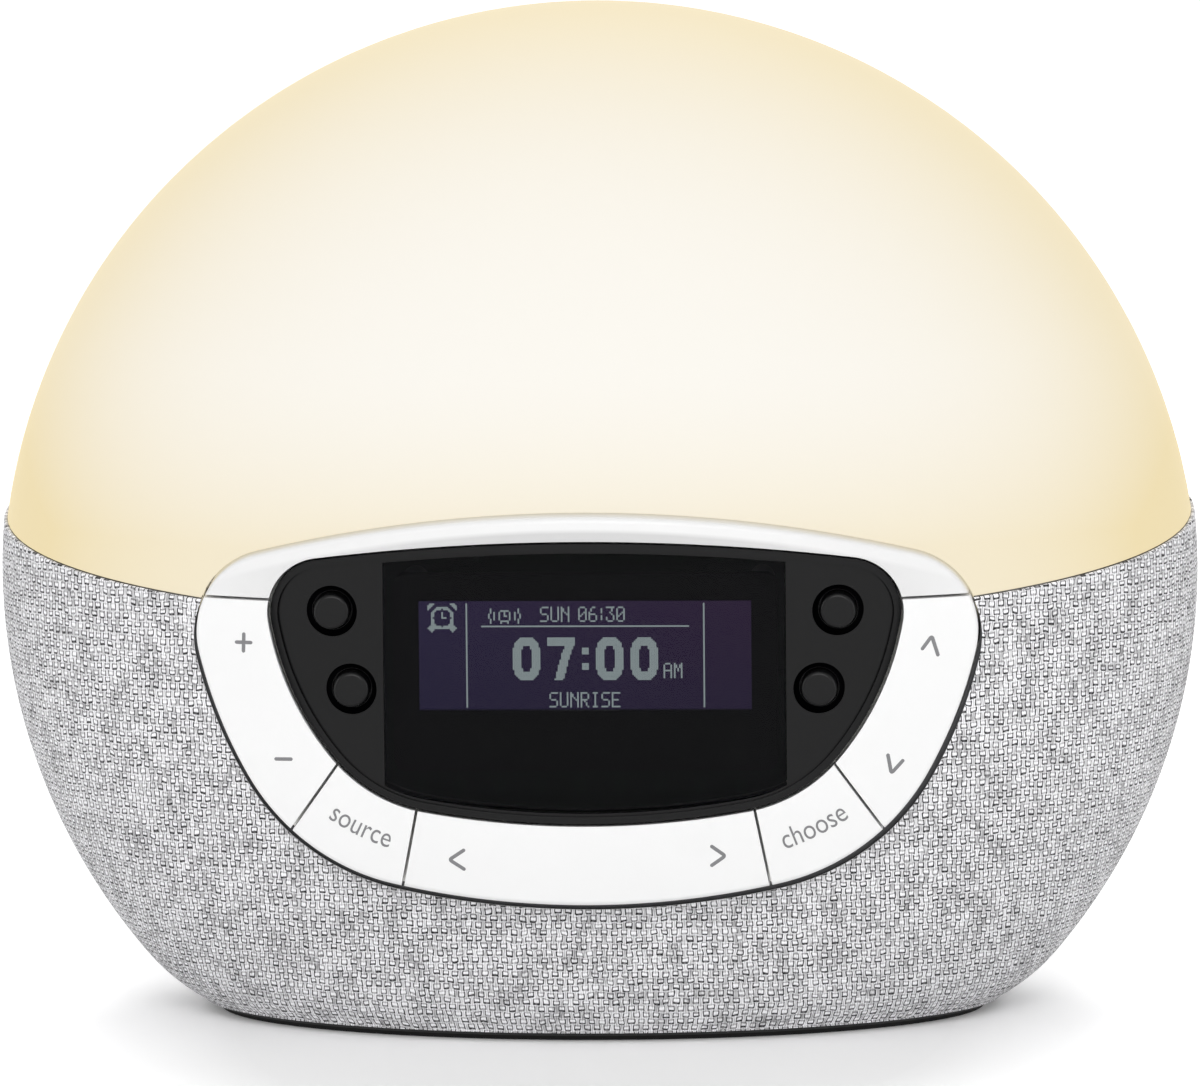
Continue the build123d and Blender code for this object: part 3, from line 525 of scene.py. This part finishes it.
# The other driving sizes of the console outline, in millimetres: a flat arch below, a bulged side
# each way and rounded corners.
BASE_Z, BASE_R = 27.1, 167.0
HIGH_X, LOW_X, BULGE = 69.0, 47.7, 4.7
UPPER_R, LOWER_R = 14.5, 38.0
OUTLINE_STEPS = 18                  # points on each of its arcs


def inner_touch(first, second, radius, side):
    """Centre of the circle that touches two larger circles from inside. It lies where circles
    about their centres, smaller by its radius, cross; side is 1 for the upper crossing."""
    (a, big_a), (b, big_b) = first, second
    ra, rb = big_a - radius, big_b - radius
    run = b - a
    apart = np.hypot(*run)
    along = (ra**2 - rb**2 + apart**2) / (2 * apart)
    up = sqrt(ra**2 - along**2)
    across = np.array([-run[1], run[0]]) / apart * up
    foot = a + run / apart * along
    return max(foot + across, foot - across, key=lambda point: side * point[1])


def console_outline(grow):
    """Outline of the console in X and Z, in metres: five arcs a side that touch one another, each
    about its own centre with grow, in millimetres, added to its radius."""
    top = np.array([0, TOP_Z - TOP_R]), TOP_R
    base = np.array([0, BASE_Z + BASE_R]), BASE_R
    high = np.array([HIGH_X, top[0][1] + sqrt(TOP_R**2 - HIGH_X**2)])
    low = np.array([LOW_X, base[0][1] - sqrt(BASE_R**2 - LOW_X**2)])
    chord = high - low
    length = np.hypot(*chord)
    side_r = (length**2 / 4 + BULGE**2) / (2 * BULGE)
    outward = np.array([chord[1], -chord[0]]) / length
    side = (high + low) / 2 + outward * (BULGE - side_r), side_r
    upper = inner_touch(top, side, UPPER_R, 1), UPPER_R
    lower = inner_touch(side, base, LOWER_R, -1), LOWER_R
    turns = [pi / 2]
    for large, small in ((top, upper), (side, upper), (side, lower), (base, lower)):
        turns.append(atan2(*(small[0] - large[0])[::-1]))
    turns.append(-pi / 2)
    right = np.concatenate([
        centre + (radius + grow) * np.stack([np.cos(turn), np.sin(turn)], axis=1)
        for (centre, radius), turn in (
            (arc, np.linspace(turns[i], turns[i + 1], OUTLINE_STEPS, endpoint=False))
            for i, arc in enumerate((top, upper, side, lower, base)))])
    foot = np.array([[0, BASE_Z - grow]])
    return np.concatenate([right, foot, right[:0:-1] * (-1, 1)]) * MM


def prism_cutter(name, outline, y0, y1):
    """Closed prism over an outline in X and Z, from y0 to y1."""
    count = len(outline)
    points = [(x, y, z) for y in (y0, y1) for x, z in outline]
    walls = [(i, (i + 1) % count, count + (i + 1) % count, count + i) for i in range(count)]
    faces = walls + [tuple(range(count))[::-1], tuple(range(count, 2 * count))]
    cutter = new_object(name, points, faces)
    mend(cutter.data, merge=False)
    return cutter


def carve(piece, cutters):
    """Cuts closed prisms out of a closed piece and removes them."""
    for cutter in cutters:
        tool = piece.modifiers.new("cut", "BOOLEAN")
        tool.operation, tool.object, tool.solver = "DIFFERENCE", cutter, "EXACT"
    settle(piece)
    for cutter in cutters:
        mesh = cutter.data
        bpy.data.objects.remove(cutter)
        bpy.data.meshes.remove(mesh)


CLOTH_COLUMNS, CLOTH_ROWS, HEM_STEPS = 360, 72, 5
FRONT_CUT, REAR_CUT = (-0.09, -0.03), (0.03, 0.09)      # Y ranges of the two openings


def cloth_cover():
    """Cloth skin: ellipse sections turned through a full circle, from the foot to the seam. The
    outer face, half a circle over the seam, the inner face and half a circle under the foot
    follow one another up and down the wall."""
    turn = np.linspace(-pi, pi, CLOTH_COLUMNS, endpoint=False)[None, :]
    half = CLOTH / 2
    high = seam_height(turn) - half + HEM_RISE
    low = BOTTOM_Z + half
    z = low + (high - low) * np.linspace(0, 1, CLOTH_ROWS)[:, None]
    wide = body_half_width(z)
    roll = np.linspace(0, pi, HEM_STEPS + 2)[1:-1][:, None]
    high_hem = body_half_width(high) - half * (1 - np.cos(roll))
    low_hem = body_half_width(low + 0 * high) - half * (1 + np.cos(roll))
    rings = np.concatenate([wide, high_hem, wide[::-1] - CLOTH, low_hem])
    low_level = low - half * np.sin(roll) + 0 * high
    level = np.concatenate([z, high + half * np.sin(roll), z[::-1], low_level])
    x = rings * np.sin(turn)
    y = -rings * HALF_D / HALF_W * np.cos(turn)
    points = np.stack([x, y, level], axis=-1)
    points = np.concatenate([points, points[:1]])
    faces = grid_faces(len(points), CLOTH_COLUMNS)
    piece = new_piece("cloth_cover", points.reshape(-1, 3), faces, FINISHES["cloth"],
                      "clock")
    mend(piece.data)
    weave_map(piece.data)
    hole = prism_cutter("console_hole", console_outline(HOLE_GROW) - (0, HOLE_DROP), *FRONT_CUT)
    low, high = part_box("socket_panel")
    corners = [(low[0], low[2]), (low[0], high[2]), (high[0], high[2]), (high[0], low[2])]
    carve(piece, [hole, prism_cutter("socket_hole", corners, *REAR_CUT)])
    smooth(piece)
    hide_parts("fabric_wrap")
    areas = np.zeros(len(piece.data.polygons))
    piece.data.polygons.foreach_get("area", areas)


GIRTH_MEAN, GIRTH_SWING = 84.3, 11.1    # mm


def weave_map(mesh):
    """UV in millimetres: arc length round from the front, and height. At an angle a the arc length
    of the widest ellipse is close to GIRTH_MEAN a + GIRTH_SWING sin 2a, and it shrinks with the
    body's width."""
    co = np.zeros(len(mesh.vertices) * 3)
    mesh.vertices.foreach_get("co", co)
    co = co.reshape(-1, 3)
    turn = np.arctan2(co[:, 0] / HALF_W, -co[:, 1] / HALF_D)
    corner = np.zeros(len(mesh.loops), dtype=int)
    mesh.loops.foreach_get("vertex_index", corner)
    turn = turn[corner]
    face_start = np.zeros(len(mesh.polygons), dtype=int)
    mesh.polygons.foreach_get("loop_start", face_start)
    face_total = np.zeros(len(mesh.polygons), dtype=int)
    mesh.polygons.foreach_get("loop_total", face_total)
    owner = np.repeat(np.arange(len(mesh.polygons)), face_total)
    biggest = np.maximum.reduceat(turn, face_start)[owner]
    turn = np.where(biggest - turn > pi, turn + 2 * pi, turn)
    shrink = np.sqrt(1 - np.clip((co[corner, 2] - WIDEST_Z) / HALF_W, -1, 1) ** 2)
    arc = (GIRTH_MEAN * turn + GIRTH_SWING * np.sin(2 * turn)) * shrink
    rise = co[corner, 2] / MM
    layer = mesh.uv_layers.new(name="weave")
    layer.data.foreach_set("uv", np.stack([arc, rise], axis=1).ravel())


# ---- button wells ------------------------------------------------------------------------
# Sizes in millimetres: the wells' centres in X and Z, their radius and depth, and the sheet of
# painted shade in them.
BUTTONS = {"upper_left": (-43.5, 77.8), "upper_right": (43.5, 77.8),
           "lower_left": (-40.2, 64.4), "lower_right": (40.2, 64.4)}
WELL_R, WELL_DEEP = 4.4, 1.5
WELL_SHADE_INNER_R, WELL_SHADE_CLEAR, WELL_SHADE_THICK = 3.45, 0.03, 0.021
AROUND_WELL = 48                    # points round a well


def fascia_y(x):
    """Y of the black fascia, an upright elliptical cylinder."""
    return -HALF_D * np.sqrt(1 - (x / HALF_W) ** 2)


def well_shade_sheet(name, centre):
    """Painted shade in a button's well: a near-black sheet without gloss, a thin L section turned
    about the well's axis, whose rim follows the fascia."""
    angle = np.linspace(0, 2 * pi, AROUND_WELL, endpoint=False)[None, :]
    outer = WELL_R - WELL_SHADE_CLEAR
    wall = outer - WELL_SHADE_THICK
    radius = np.array([WELL_SHADE_INNER_R, wall, wall, outer, outer, WELL_SHADE_INNER_R])[:, None] * MM
    x = centre[0] * MM + radius * np.cos(angle)
    z = centre[1] * MM + radius * np.sin(angle)
    floor = fascia_y(centre[0] * MM) + (WELL_DEEP - WELL_SHADE_CLEAR) * MM
    rim = fascia_y(x) + WELL_SHADE_CLEAR * MM
    at_rim = np.array([False, False, True, True, False, False])[:, None]
    above_floor = np.array([1, 1, 0, 0, 0, 0])[:, None] * WELL_SHADE_THICK * MM
    y = np.where(at_rim, rim, floor - above_floor)
    points = np.stack([x, y, z], axis=-1)
    points = np.concatenate([points, points[:1]])
    piece = new_piece(name, points.reshape(-1, 3), grid_faces(len(points), AROUND_WELL),
                      WELL_PAINTED_SHADE, "clock")
    mend(piece.data)
    smooth(piece)


# ---- printed marks ---------------------------------------------------------------------
# In millimetres: half width of a stroke, half length of path over which a corner is rounded, and
# the step between points.
MARK_HALF, CORNER_HALF, PATH_STEP = 0.33, 0.5, 0.1
CAP_STEPS, ROUND_STROKE = 4, 12     # sections of an end, points of a section


def rounded_path(path):
    """Points along a path, averaged over a short length so that its corners are round. It runs
    straight on past both ends before the average is taken."""
    path = np.array(path)
    run = np.diff(path, axis=0)
    length = np.linalg.norm(run, axis=1)
    reach = np.concatenate([[0], np.cumsum(length)])
    along = np.arange(-CORNER_HALF, reach[-1] + CORNER_HALF + PATH_STEP / 2, PATH_STEP)
    flat = np.stack([np.interp(along, reach, path[:, axis]) for axis in (0, 1)], axis=1)
    flat += np.minimum(along, 0)[:, None] * run[0] / length[0]
    flat += np.maximum(along - reach[-1], 0)[:, None] * run[-1] / length[-1]
    window = np.ones(int(2 * CORNER_HALF / PATH_STEP) + 1)
    window /= len(window)
    return np.stack([np.convolve(flat[:, axis], window, "valid") for axis in (0, 1)], axis=1)


def printed_stroke(path):
    """Flat stroke laid on the console: an ellipse section carried along a path, whose width
    follows a quarter circle down to nothing past each end."""
    middle = rounded_path(path)
    heading = np.gradient(middle, axis=0)
    heading /= np.linalg.norm(heading, axis=1)[:, None]
    cap = np.linspace(-pi / 2, 0, CAP_STEPS + 1)[:-1]
    first = middle[0] + heading[0] * MARK_HALF * np.sin(cap)[:, None]
    last = middle[-1] - heading[-1] * MARK_HALF * np.sin(cap[::-1])[:, None]
    centre = np.concatenate([first, middle, last])[:, None, :]
    heading = np.concatenate([np.repeat(heading[:1], CAP_STEPS, axis=0), heading,
                              np.repeat(heading[-1:], CAP_STEPS, axis=0)])
    across = np.stack([-heading[:, 1], heading[:, 0]], axis=1)[:, None, :]
    size = np.concatenate([np.cos(cap), np.ones(len(middle)), np.cos(cap[::-1])])[:, None]
    angle = np.linspace(0, 2 * pi, ROUND_STROKE, endpoint=False)[None, :]
    flat = (centre + across * (MARK_HALF * size * np.cos(angle))[..., None]) * MM
    x, z = flat[..., 0], flat[..., 1]
    points = np.stack([x, console_y(x, z) - INK * size * np.sin(angle), z], axis=-1)
    return points.reshape(-1, 3), grid_faces(len(size), ROUND_STROKE)


def printed_mark(name, body, paths):
    """One mark of several strokes, as a single piece on its key."""
    points, faces, count = [], [], 0
    for path in paths:
        stroke_points, stroke_faces = printed_stroke(path)
        points.append(stroke_points)
        faces.append(stroke_faces + count)
        count += len(stroke_points)
    points, faces = np.concatenate(points), np.concatenate(faces)
    piece = new_piece(name, points, faces, INK_GREY, body)
    mend(piece.data)
    smooth(piece, 60)


# Marks in X and Z, in millimetres: name, body, strokes.
MARKS = (
    ("mark_plus", "volume_rocker_body",
     [[(-58.9, 73.4), (-59.0, 70.5)], [(-60.2, 71.95), (-57.7, 72.0)]]),
    ("mark_minus", "volume_rocker_body", [[(-53.5, 51.85), (-50.9, 51.95)]]),
    ("mark_up", "updown_rocker_body", [[(57.9, 70.7), (59.5, 72.8), (60.5, 69.5)]]),
    ("mark_down", "updown_rocker_body", [[(51.9, 52.4), (52.45, 49.2), (54.4, 51.3)]]),
    ("mark_left", "arrow_rocker_body", [[(-21.0, 36.8), (-23.5, 35.1), (-21.0, 33.5)]]),
    ("mark_right", "arrow_rocker_body", [[(21.7, 37.4), (24.0, 35.7), (21.7, 34.1)]]),
)


# Height of the letters and how much thinner they are, in millimetres, and their width as a share.
LETTER_SIZE, LETTER_THIN, LETTER_WIDTH = 5.2, 0.012, 0.80
# Words: name, text, body, place in X and Z, tilt in degrees, radius of the bent baseline.
WORDS = (
    ("word_left", "source", "left_key_body", (-38.8, 40.4), -25, 39.0),
    ("word_right", "choose", "right_key_body", (39.2, 40.2), 25, 48.0),
)


def printed_word(name, text, body, centre, degrees, bend):
    """A plain word printed on the console surface, on a baseline bent to a circle whose centre
    lies bend above it. Sizes are in millimetres."""
    curve = bpy.data.curves.new(name, "FONT")
    curve.body, curve.size, curve.offset = text, LETTER_SIZE, -LETTER_THIN
    curve.align_x = curve.align_y = "CENTER"
    source = bpy.data.objects.new(name + "_source", curve)
    bpy.context.scene.collection.objects.link(source)
    bpy.context.view_layer.update()
    mesh = bpy.data.meshes.new_from_object(source)
    bpy.data.objects.remove(source)
    flat = np.zeros(len(mesh.vertices) * 3)
    mesh.vertices.foreach_get("co", flat)
    flat = flat.reshape(-1, 3)
    tilt = radians(degrees)
    turn = tilt + flat[:, 0] * LETTER_WIDTH / bend
    spoke = bend - flat[:, 1]
    x = (centre[0] - bend * sin(tilt) + spoke * np.sin(turn)) * MM
    z = (centre[1] + bend * cos(tilt) - spoke * np.cos(turn)) * MM
    points = np.stack([x, console_y(x, z) - INK, z], axis=-1)
    faces = [tuple(p.vertices) for p in mesh.polygons]
    bpy.data.meshes.remove(mesh)
    piece = new_piece(name, points, faces, INK_GREY, body)
    mend(piece.data, outwards=False)
    wall = piece.modifiers.new("wall", "SOLIDIFY")
    wall.thickness, wall.offset = 2 * INK, -1
    settle(piece)
    mend(piece.data, merge=False)


# ---- display ----------------------------------------------------------------------------
ROWS, COLUMNS = 64, 192             # dots of the display
DOT_FILL = 0.94                     # share of its square that a dot fills
DOT_FRONT, DOT_BACK = -0.05 * MM, 0.02 * MM     # from the front of the cell
# Dot rows of the small letters, each 0 or 1 from left to right.
GLYPHS = {
    "0": "01110 10001 10011 10101 11001 10001 01110",
    "3": "11111 00010 00100 00010 00001 10001 01110",
    "6": "00110 01000 10000 11110 10001 10001 01110",
    "A": "01110 10001 10001 11111 10001 10001 10001",
    "E": "11111 10000 10000 11110 10000 10000 11111",
    "I": "01110 00100 00100 00100 00100 00100 01110",
    "M": "10001 11011 10101 10101 10001 10001 10001",
    "N": "10001 11001 10101 10011 10001 10001 10001",
    "R": "11110 10001 10001 11110 10100 10010 10001",
    "S": "01111 10000 10000 01110 00001 00001 11110",
    "U": "10001 10001 10001 10001 10001 10001 01110",
    ":": "000 010 010 000 010 010 000",
    " ": "000 000 000 000 000 000 000",
}
GLYPH_ROWS = [0, 1, 1, 2, 3, 4, 5, 5, 6]    # two rows are doubled, so a letter is nine dots high
BIG_H, BIG_W = 25, 16               # a large digit
ZERO_OUTER, ZERO_INNER, ZERO_POWER = (8.2, 12.7), (3.1, 7.6), 2.6
SEVEN_BAR, SEVEN_LEG, SEVEN_START, SEVEN_SWING = 5, 2.6, 12.6, 6.2
COLON_ROWS = ((6, 10), (15, 19))


def small_text(text):
    """Mask of a line of small letters, one dark column between them."""
    letters = []
    for letter in text:
        glyph = np.array([[dot == "1" for dot in row] for row in GLYPHS[letter].split()])
        letters += [glyph[GLYPH_ROWS], np.zeros((len(GLYPH_ROWS), 1), bool)]
    return np.hstack(letters[:-1])


def big_zero():
    """Ring between two rounded boxes, each a superellipse."""
    row, column = np.indices((BIG_H, BIG_W)) - (np.array([BIG_H, BIG_W])[:, None, None] - 1) / 2

    def within(wide, tall):
        return abs(column / wide) ** ZERO_POWER + abs(row / tall) ** ZERO_POWER <= 1

    return within(*ZERO_OUTER) & ~within(*ZERO_INNER)


def big_seven():
    """A bar over a leg whose middle moves left as it goes down."""
    row, column = np.indices((BIG_H, BIG_W))
    down = np.maximum(row - SEVEN_BAR + 1, 0) / (BIG_H - SEVEN_BAR)
    middle = SEVEN_START - SEVEN_SWING * down ** 0.8
    return (row < SEVEN_BAR) | (abs(column - middle) < SEVEN_LEG)


def colon():
    """Two squares, one over the other."""
    mask = np.zeros((BIG_H, 4), bool)
    for first, last in COLON_ROWS:
        mask[first:last] = True
    return mask


def dot_places(tall, wide):
    """Places of an icon's dots across and up, from its middle."""
    down, right = np.indices((tall, wide))
    return right - wide // 2, tall // 2 - down


def clock_icon():
    """A little alarm clock: a thick ring, two hands, two bells and two feet."""
    x, y = dot_places(17, 19)
    away = np.hypot(x, y)
    ring = abs(away - 6.0) < 0.95
    hands = (x == 0) & (y >= 0) & (y < 4) | (y == 0) & (x >= 0) & (x < 3)
    bells = (abs(away - 9.7) < 1.0) & (abs(abs(x) - y) < 4)
    feet = (abs(away - 8.7) < 1.9) & (abs(abs(x) + y) < 3)
    return ring | hands | bells | feet


def ringing_icon():
    """A small clock between two pairs of arcs."""
    x, y = dot_places(9, 19)
    away = np.hypot(x, y)
    face = (np.maximum(abs(x), abs(y)) == 3) & (abs(x) + abs(y) < 6)
    hands = (x == 0) & (y >= 0) & (y < 3) | (y == 0) & (x >= 0) & (x < 2)
    arcs = ((abs(away - 6.2) < 0.5) | (abs(away - 8.7) < 0.5)) & (abs(y) < abs(x) * 0.6)
    feet = (y == -4) & (abs(x) == 2)
    return face | hands | arcs | feet


PICTURE = (
    # mask, top row, left column
    (clock_icon(), 2, 4), (ringing_icon(), 5, 40), (small_text("SUN 06:30"), 4, 70),
    (big_zero(), 22, 54), (big_seven(), 22, 74), (colon(), 22, 94), (big_zero(), 22, 102),
    (big_zero(), 22, 122), (small_text("AM"), 37, 141), (small_text("SUNRISE"), 54, 75),
)
UPRIGHT_RULES = slice(2, 63), [27, 164]     # rows, columns
LEVEL_RULE = 15, slice(36, 156)


def screen():
    """Mask of every lit dot, row by row from the top."""
    lit = np.zeros((ROWS, COLUMNS), bool)
    for mask, row, column in PICTURE:
        lit[row:row + mask.shape[0], column:column + mask.shape[1]] |= mask
    lit[UPRIGHT_RULES] = True
    lit[LEVEL_RULE] = True
    return lit


def display_dots():
    """All lit dots of the display as thin tiles in front of the cell."""
    wide, tall = DISPLAY_W / COLUMNS, DISPLAY_H / ROWS
    row, column = np.nonzero(screen())
    centre = np.stack([(column + 0.5) * wide - DISPLAY_W / 2,
                       DISPLAY_Z + DISPLAY_H / 2 - (row + 0.5) * tall], axis=1)
    square = np.array([(-1, -1), (1, -1), (1, 1), (-1, 1)]) * (wide, tall) * DOT_FILL / 2
    corner = centre[:, None, :] + square
    levels = [np.insert(corner, 1, CELL_FRONT + y, axis=-1) for y in (DOT_FRONT, DOT_BACK)]
    points = np.concatenate(levels, axis=1).reshape(-1, 3)
    box = np.array([(0, 1, 2, 3), (7, 6, 5, 4), (4, 5, 1, 0),
                    (5, 6, 2, 1), (6, 7, 3, 2), (7, 4, 0, 3)])
    faces = (np.arange(len(row))[:, None, None] * 8 + box).reshape(-1, 4)
    new_piece("display_dots", points, faces, lit_dots(), "clock")


# ---- studio ------------------------------------------------------------------------------
FLOOR_SIZE = 6.0
# The floor's painted light: a glow seen directly and in reflections, and two steps in which it
# brightens away from the object, so that the darker floor near the object is painted shadow: start,
# end and rise.
FLOOR_GLOW, NEAR_STEP, FAR_STEP = 0.06, (0.062, 0.092, 0.28), (0.30, 0.80, 0.25)
SHADE_DEPTH, SHADE_FORWARD = 0.6, 0.02      # the steps' rings are longer in Y, and moved forwards


def seen_directly(f):
    """1 for camera, glossy and transmitted rays, else 0."""
    rays = [f.add("ShaderNodeLightPath", out=out)
            for out in ("Is Camera Ray", "Is Glossy Ray", "Is Transmission Ray")]
    return rays[0].math("MAXIMUM", rays[1]).math("MAXIMUM", rays[2])


def studio_floor():
    """Pale floor that keeps the object's shadow, with a painted glow that brightens away from the
    object and so paints a shadow round it, and meets a white background.
    """
    square = np.array([(-1, -1, 0), (1, -1, 0), (1, 1, 0), (-1, 1, 0)]) * FLOOR_SIZE
    floor = new_object("studio_floor", square, [(0, 1, 2, 3)])
    f = Finish("studio_floor")
    x, y, _ = f.split(f.place())
    back = SHADE_DEPTH * (y + SHADE_FORWARD)
    away = (x * x + back * back) ** 0.5
    glow = FLOOR_GLOW
    for start, end, rise in (NEAR_STEP, FAR_STEP):
        glow = glow + ((away - start) / (end - start)).clamp() * rise
    # painted light: the glow, weakest next to the object, paints a shadow round it
    glow = seen_directly(f) * glow
    floor.data.materials.append(f.surface({
        "Base Color": f.mix(f.noise(2.0) * 0.1, shade(WHITE, 0.93), shade(WHITE, 0.9)),
        "Roughness": 0.9, "Specular IOR Level": 0.0,
        "Emission Color": f.mix(glow, BLACK, WHITE), "Emission Strength": 1.0}))


def studio_world():
    """Soft white surroundings: plain white for the camera, reflections and glass."""
    world = bpy.data.worlds.new("studio")
    bpy.context.scene.world = world
    world.use_nodes = True
    tree = world.node_tree
    tree.nodes.clear()
    path = tree.nodes.new("ShaderNodeLightPath")
    out = tree.nodes.new("ShaderNodeOutputWorld")
    lit, seen = tree.nodes.new("ShaderNodeBackground"), tree.nodes.new("ShaderNodeBackground")
    lit.inputs["Color"].default_value = seen.inputs["Color"].default_value = WHITE
    lit.inputs["Strength"].default_value = WORLD_LIGHT
    seen.inputs["Strength"].default_value = 1.0
    mix = tree.nodes.new("ShaderNodeMixShader")
    factor = path.outputs["Is Camera Ray"]
    for ray in ("Is Glossy Ray", "Is Transmission Ray"):
        either = tree.nodes.new("ShaderNodeMath")
        either.operation = "MAXIMUM"
        tree.links.new(factor, either.inputs[0])
        tree.links.new(path.outputs[ray], either.inputs[1])
        factor = either.outputs[0]
    tree.links.new(factor, mix.inputs[0])
    tree.links.new(lit.outputs[0], mix.inputs[1])
    tree.links.new(seen.outputs[0], mix.inputs[2])
    tree.links.new(mix.outputs[0], out.inputs["Surface"])


WORLD_LIGHT = 0.49
LAMPS = {
    # name: place, width, height, power
    "softbox_front": ((0.1, -1.55, 0.85), 1.1, 0.9, 13.0),
    "softbox_left": ((-1.5, -0.7, 0.55), 0.5, 1.1, 4.8),
    "softbox_right": ((1.5, -0.7, 0.55), 0.5, 1.1, 4.4),
    "softbox_top": ((0.0, 0.75, 1.5), 1.2, 1.0, 9.5),
}
LAMP_AIM = Vector((0, 0, 0.08))


def studio_lamps():
    """Four soft boxes that all face the middle of the clock."""
    for name, (place, wide, tall, power) in LAMPS.items():
        lamp = bpy.data.lights.new(name, "AREA")
        lamp.shape, lamp.size, lamp.size_y, lamp.energy = "RECTANGLE", wide, tall, power
        holder = bpy.data.objects.new(name, lamp)
        holder.location = place
        holder.rotation_euler = (LAMP_AIM - Vector(place)).to_track_quat("-Z", "Y").to_euler()
        bpy.context.scene.collection.objects.link(holder)


CAMERA_AZIMUTH, CAMERA_ELEVATION, CAMERA_ROLL = radians(2.66), radians(7.74), radians(-0.5)
CAMERA_DISTANCE = 2.4
VIEW_WIDTH = 0.21073                # at the middle of the clock
CAMERA_AIM = Vector((0.000176, 0, 0.08197))
SENSOR, FAR_CLIP = 36.0, 30.0


def camera():
    """Long lens from a little above and to the right of the front."""
    e, a = CAMERA_ELEVATION, CAMERA_AZIMUTH
    back = Vector((sin(a) * cos(e), -cos(a) * cos(e), sin(e)))
    lens = bpy.data.cameras.new("camera")
    lens.sensor_width, lens.clip_end = SENSOR, FAR_CLIP
    lens.lens = SENSOR * CAMERA_DISTANCE / VIEW_WIDTH
    holder = bpy.data.objects.new("camera", lens)
    holder.location = CAMERA_AIM + back * CAMERA_DISTANCE
    turn = (-back).to_track_quat("-Z", "Y") @ Euler((0, 0, CAMERA_ROLL)).to_quaternion()
    holder.rotation_euler = turn.to_euler()
    bpy.context.scene.collection.objects.link(holder)
    bpy.context.scene.camera = holder
    bpy.context.scene.view_settings.view_transform = "Standard"


camera()
dress_nodes()
cloth_cover()
for side, centre in BUTTONS.items():
    well_shade_sheet("well_" + side, centre)
for mark in MARKS:
    printed_mark(*mark)
for word in WORDS:
    printed_word(*word)
display_dots()
studio_floor()
studio_world()
studio_lamps()
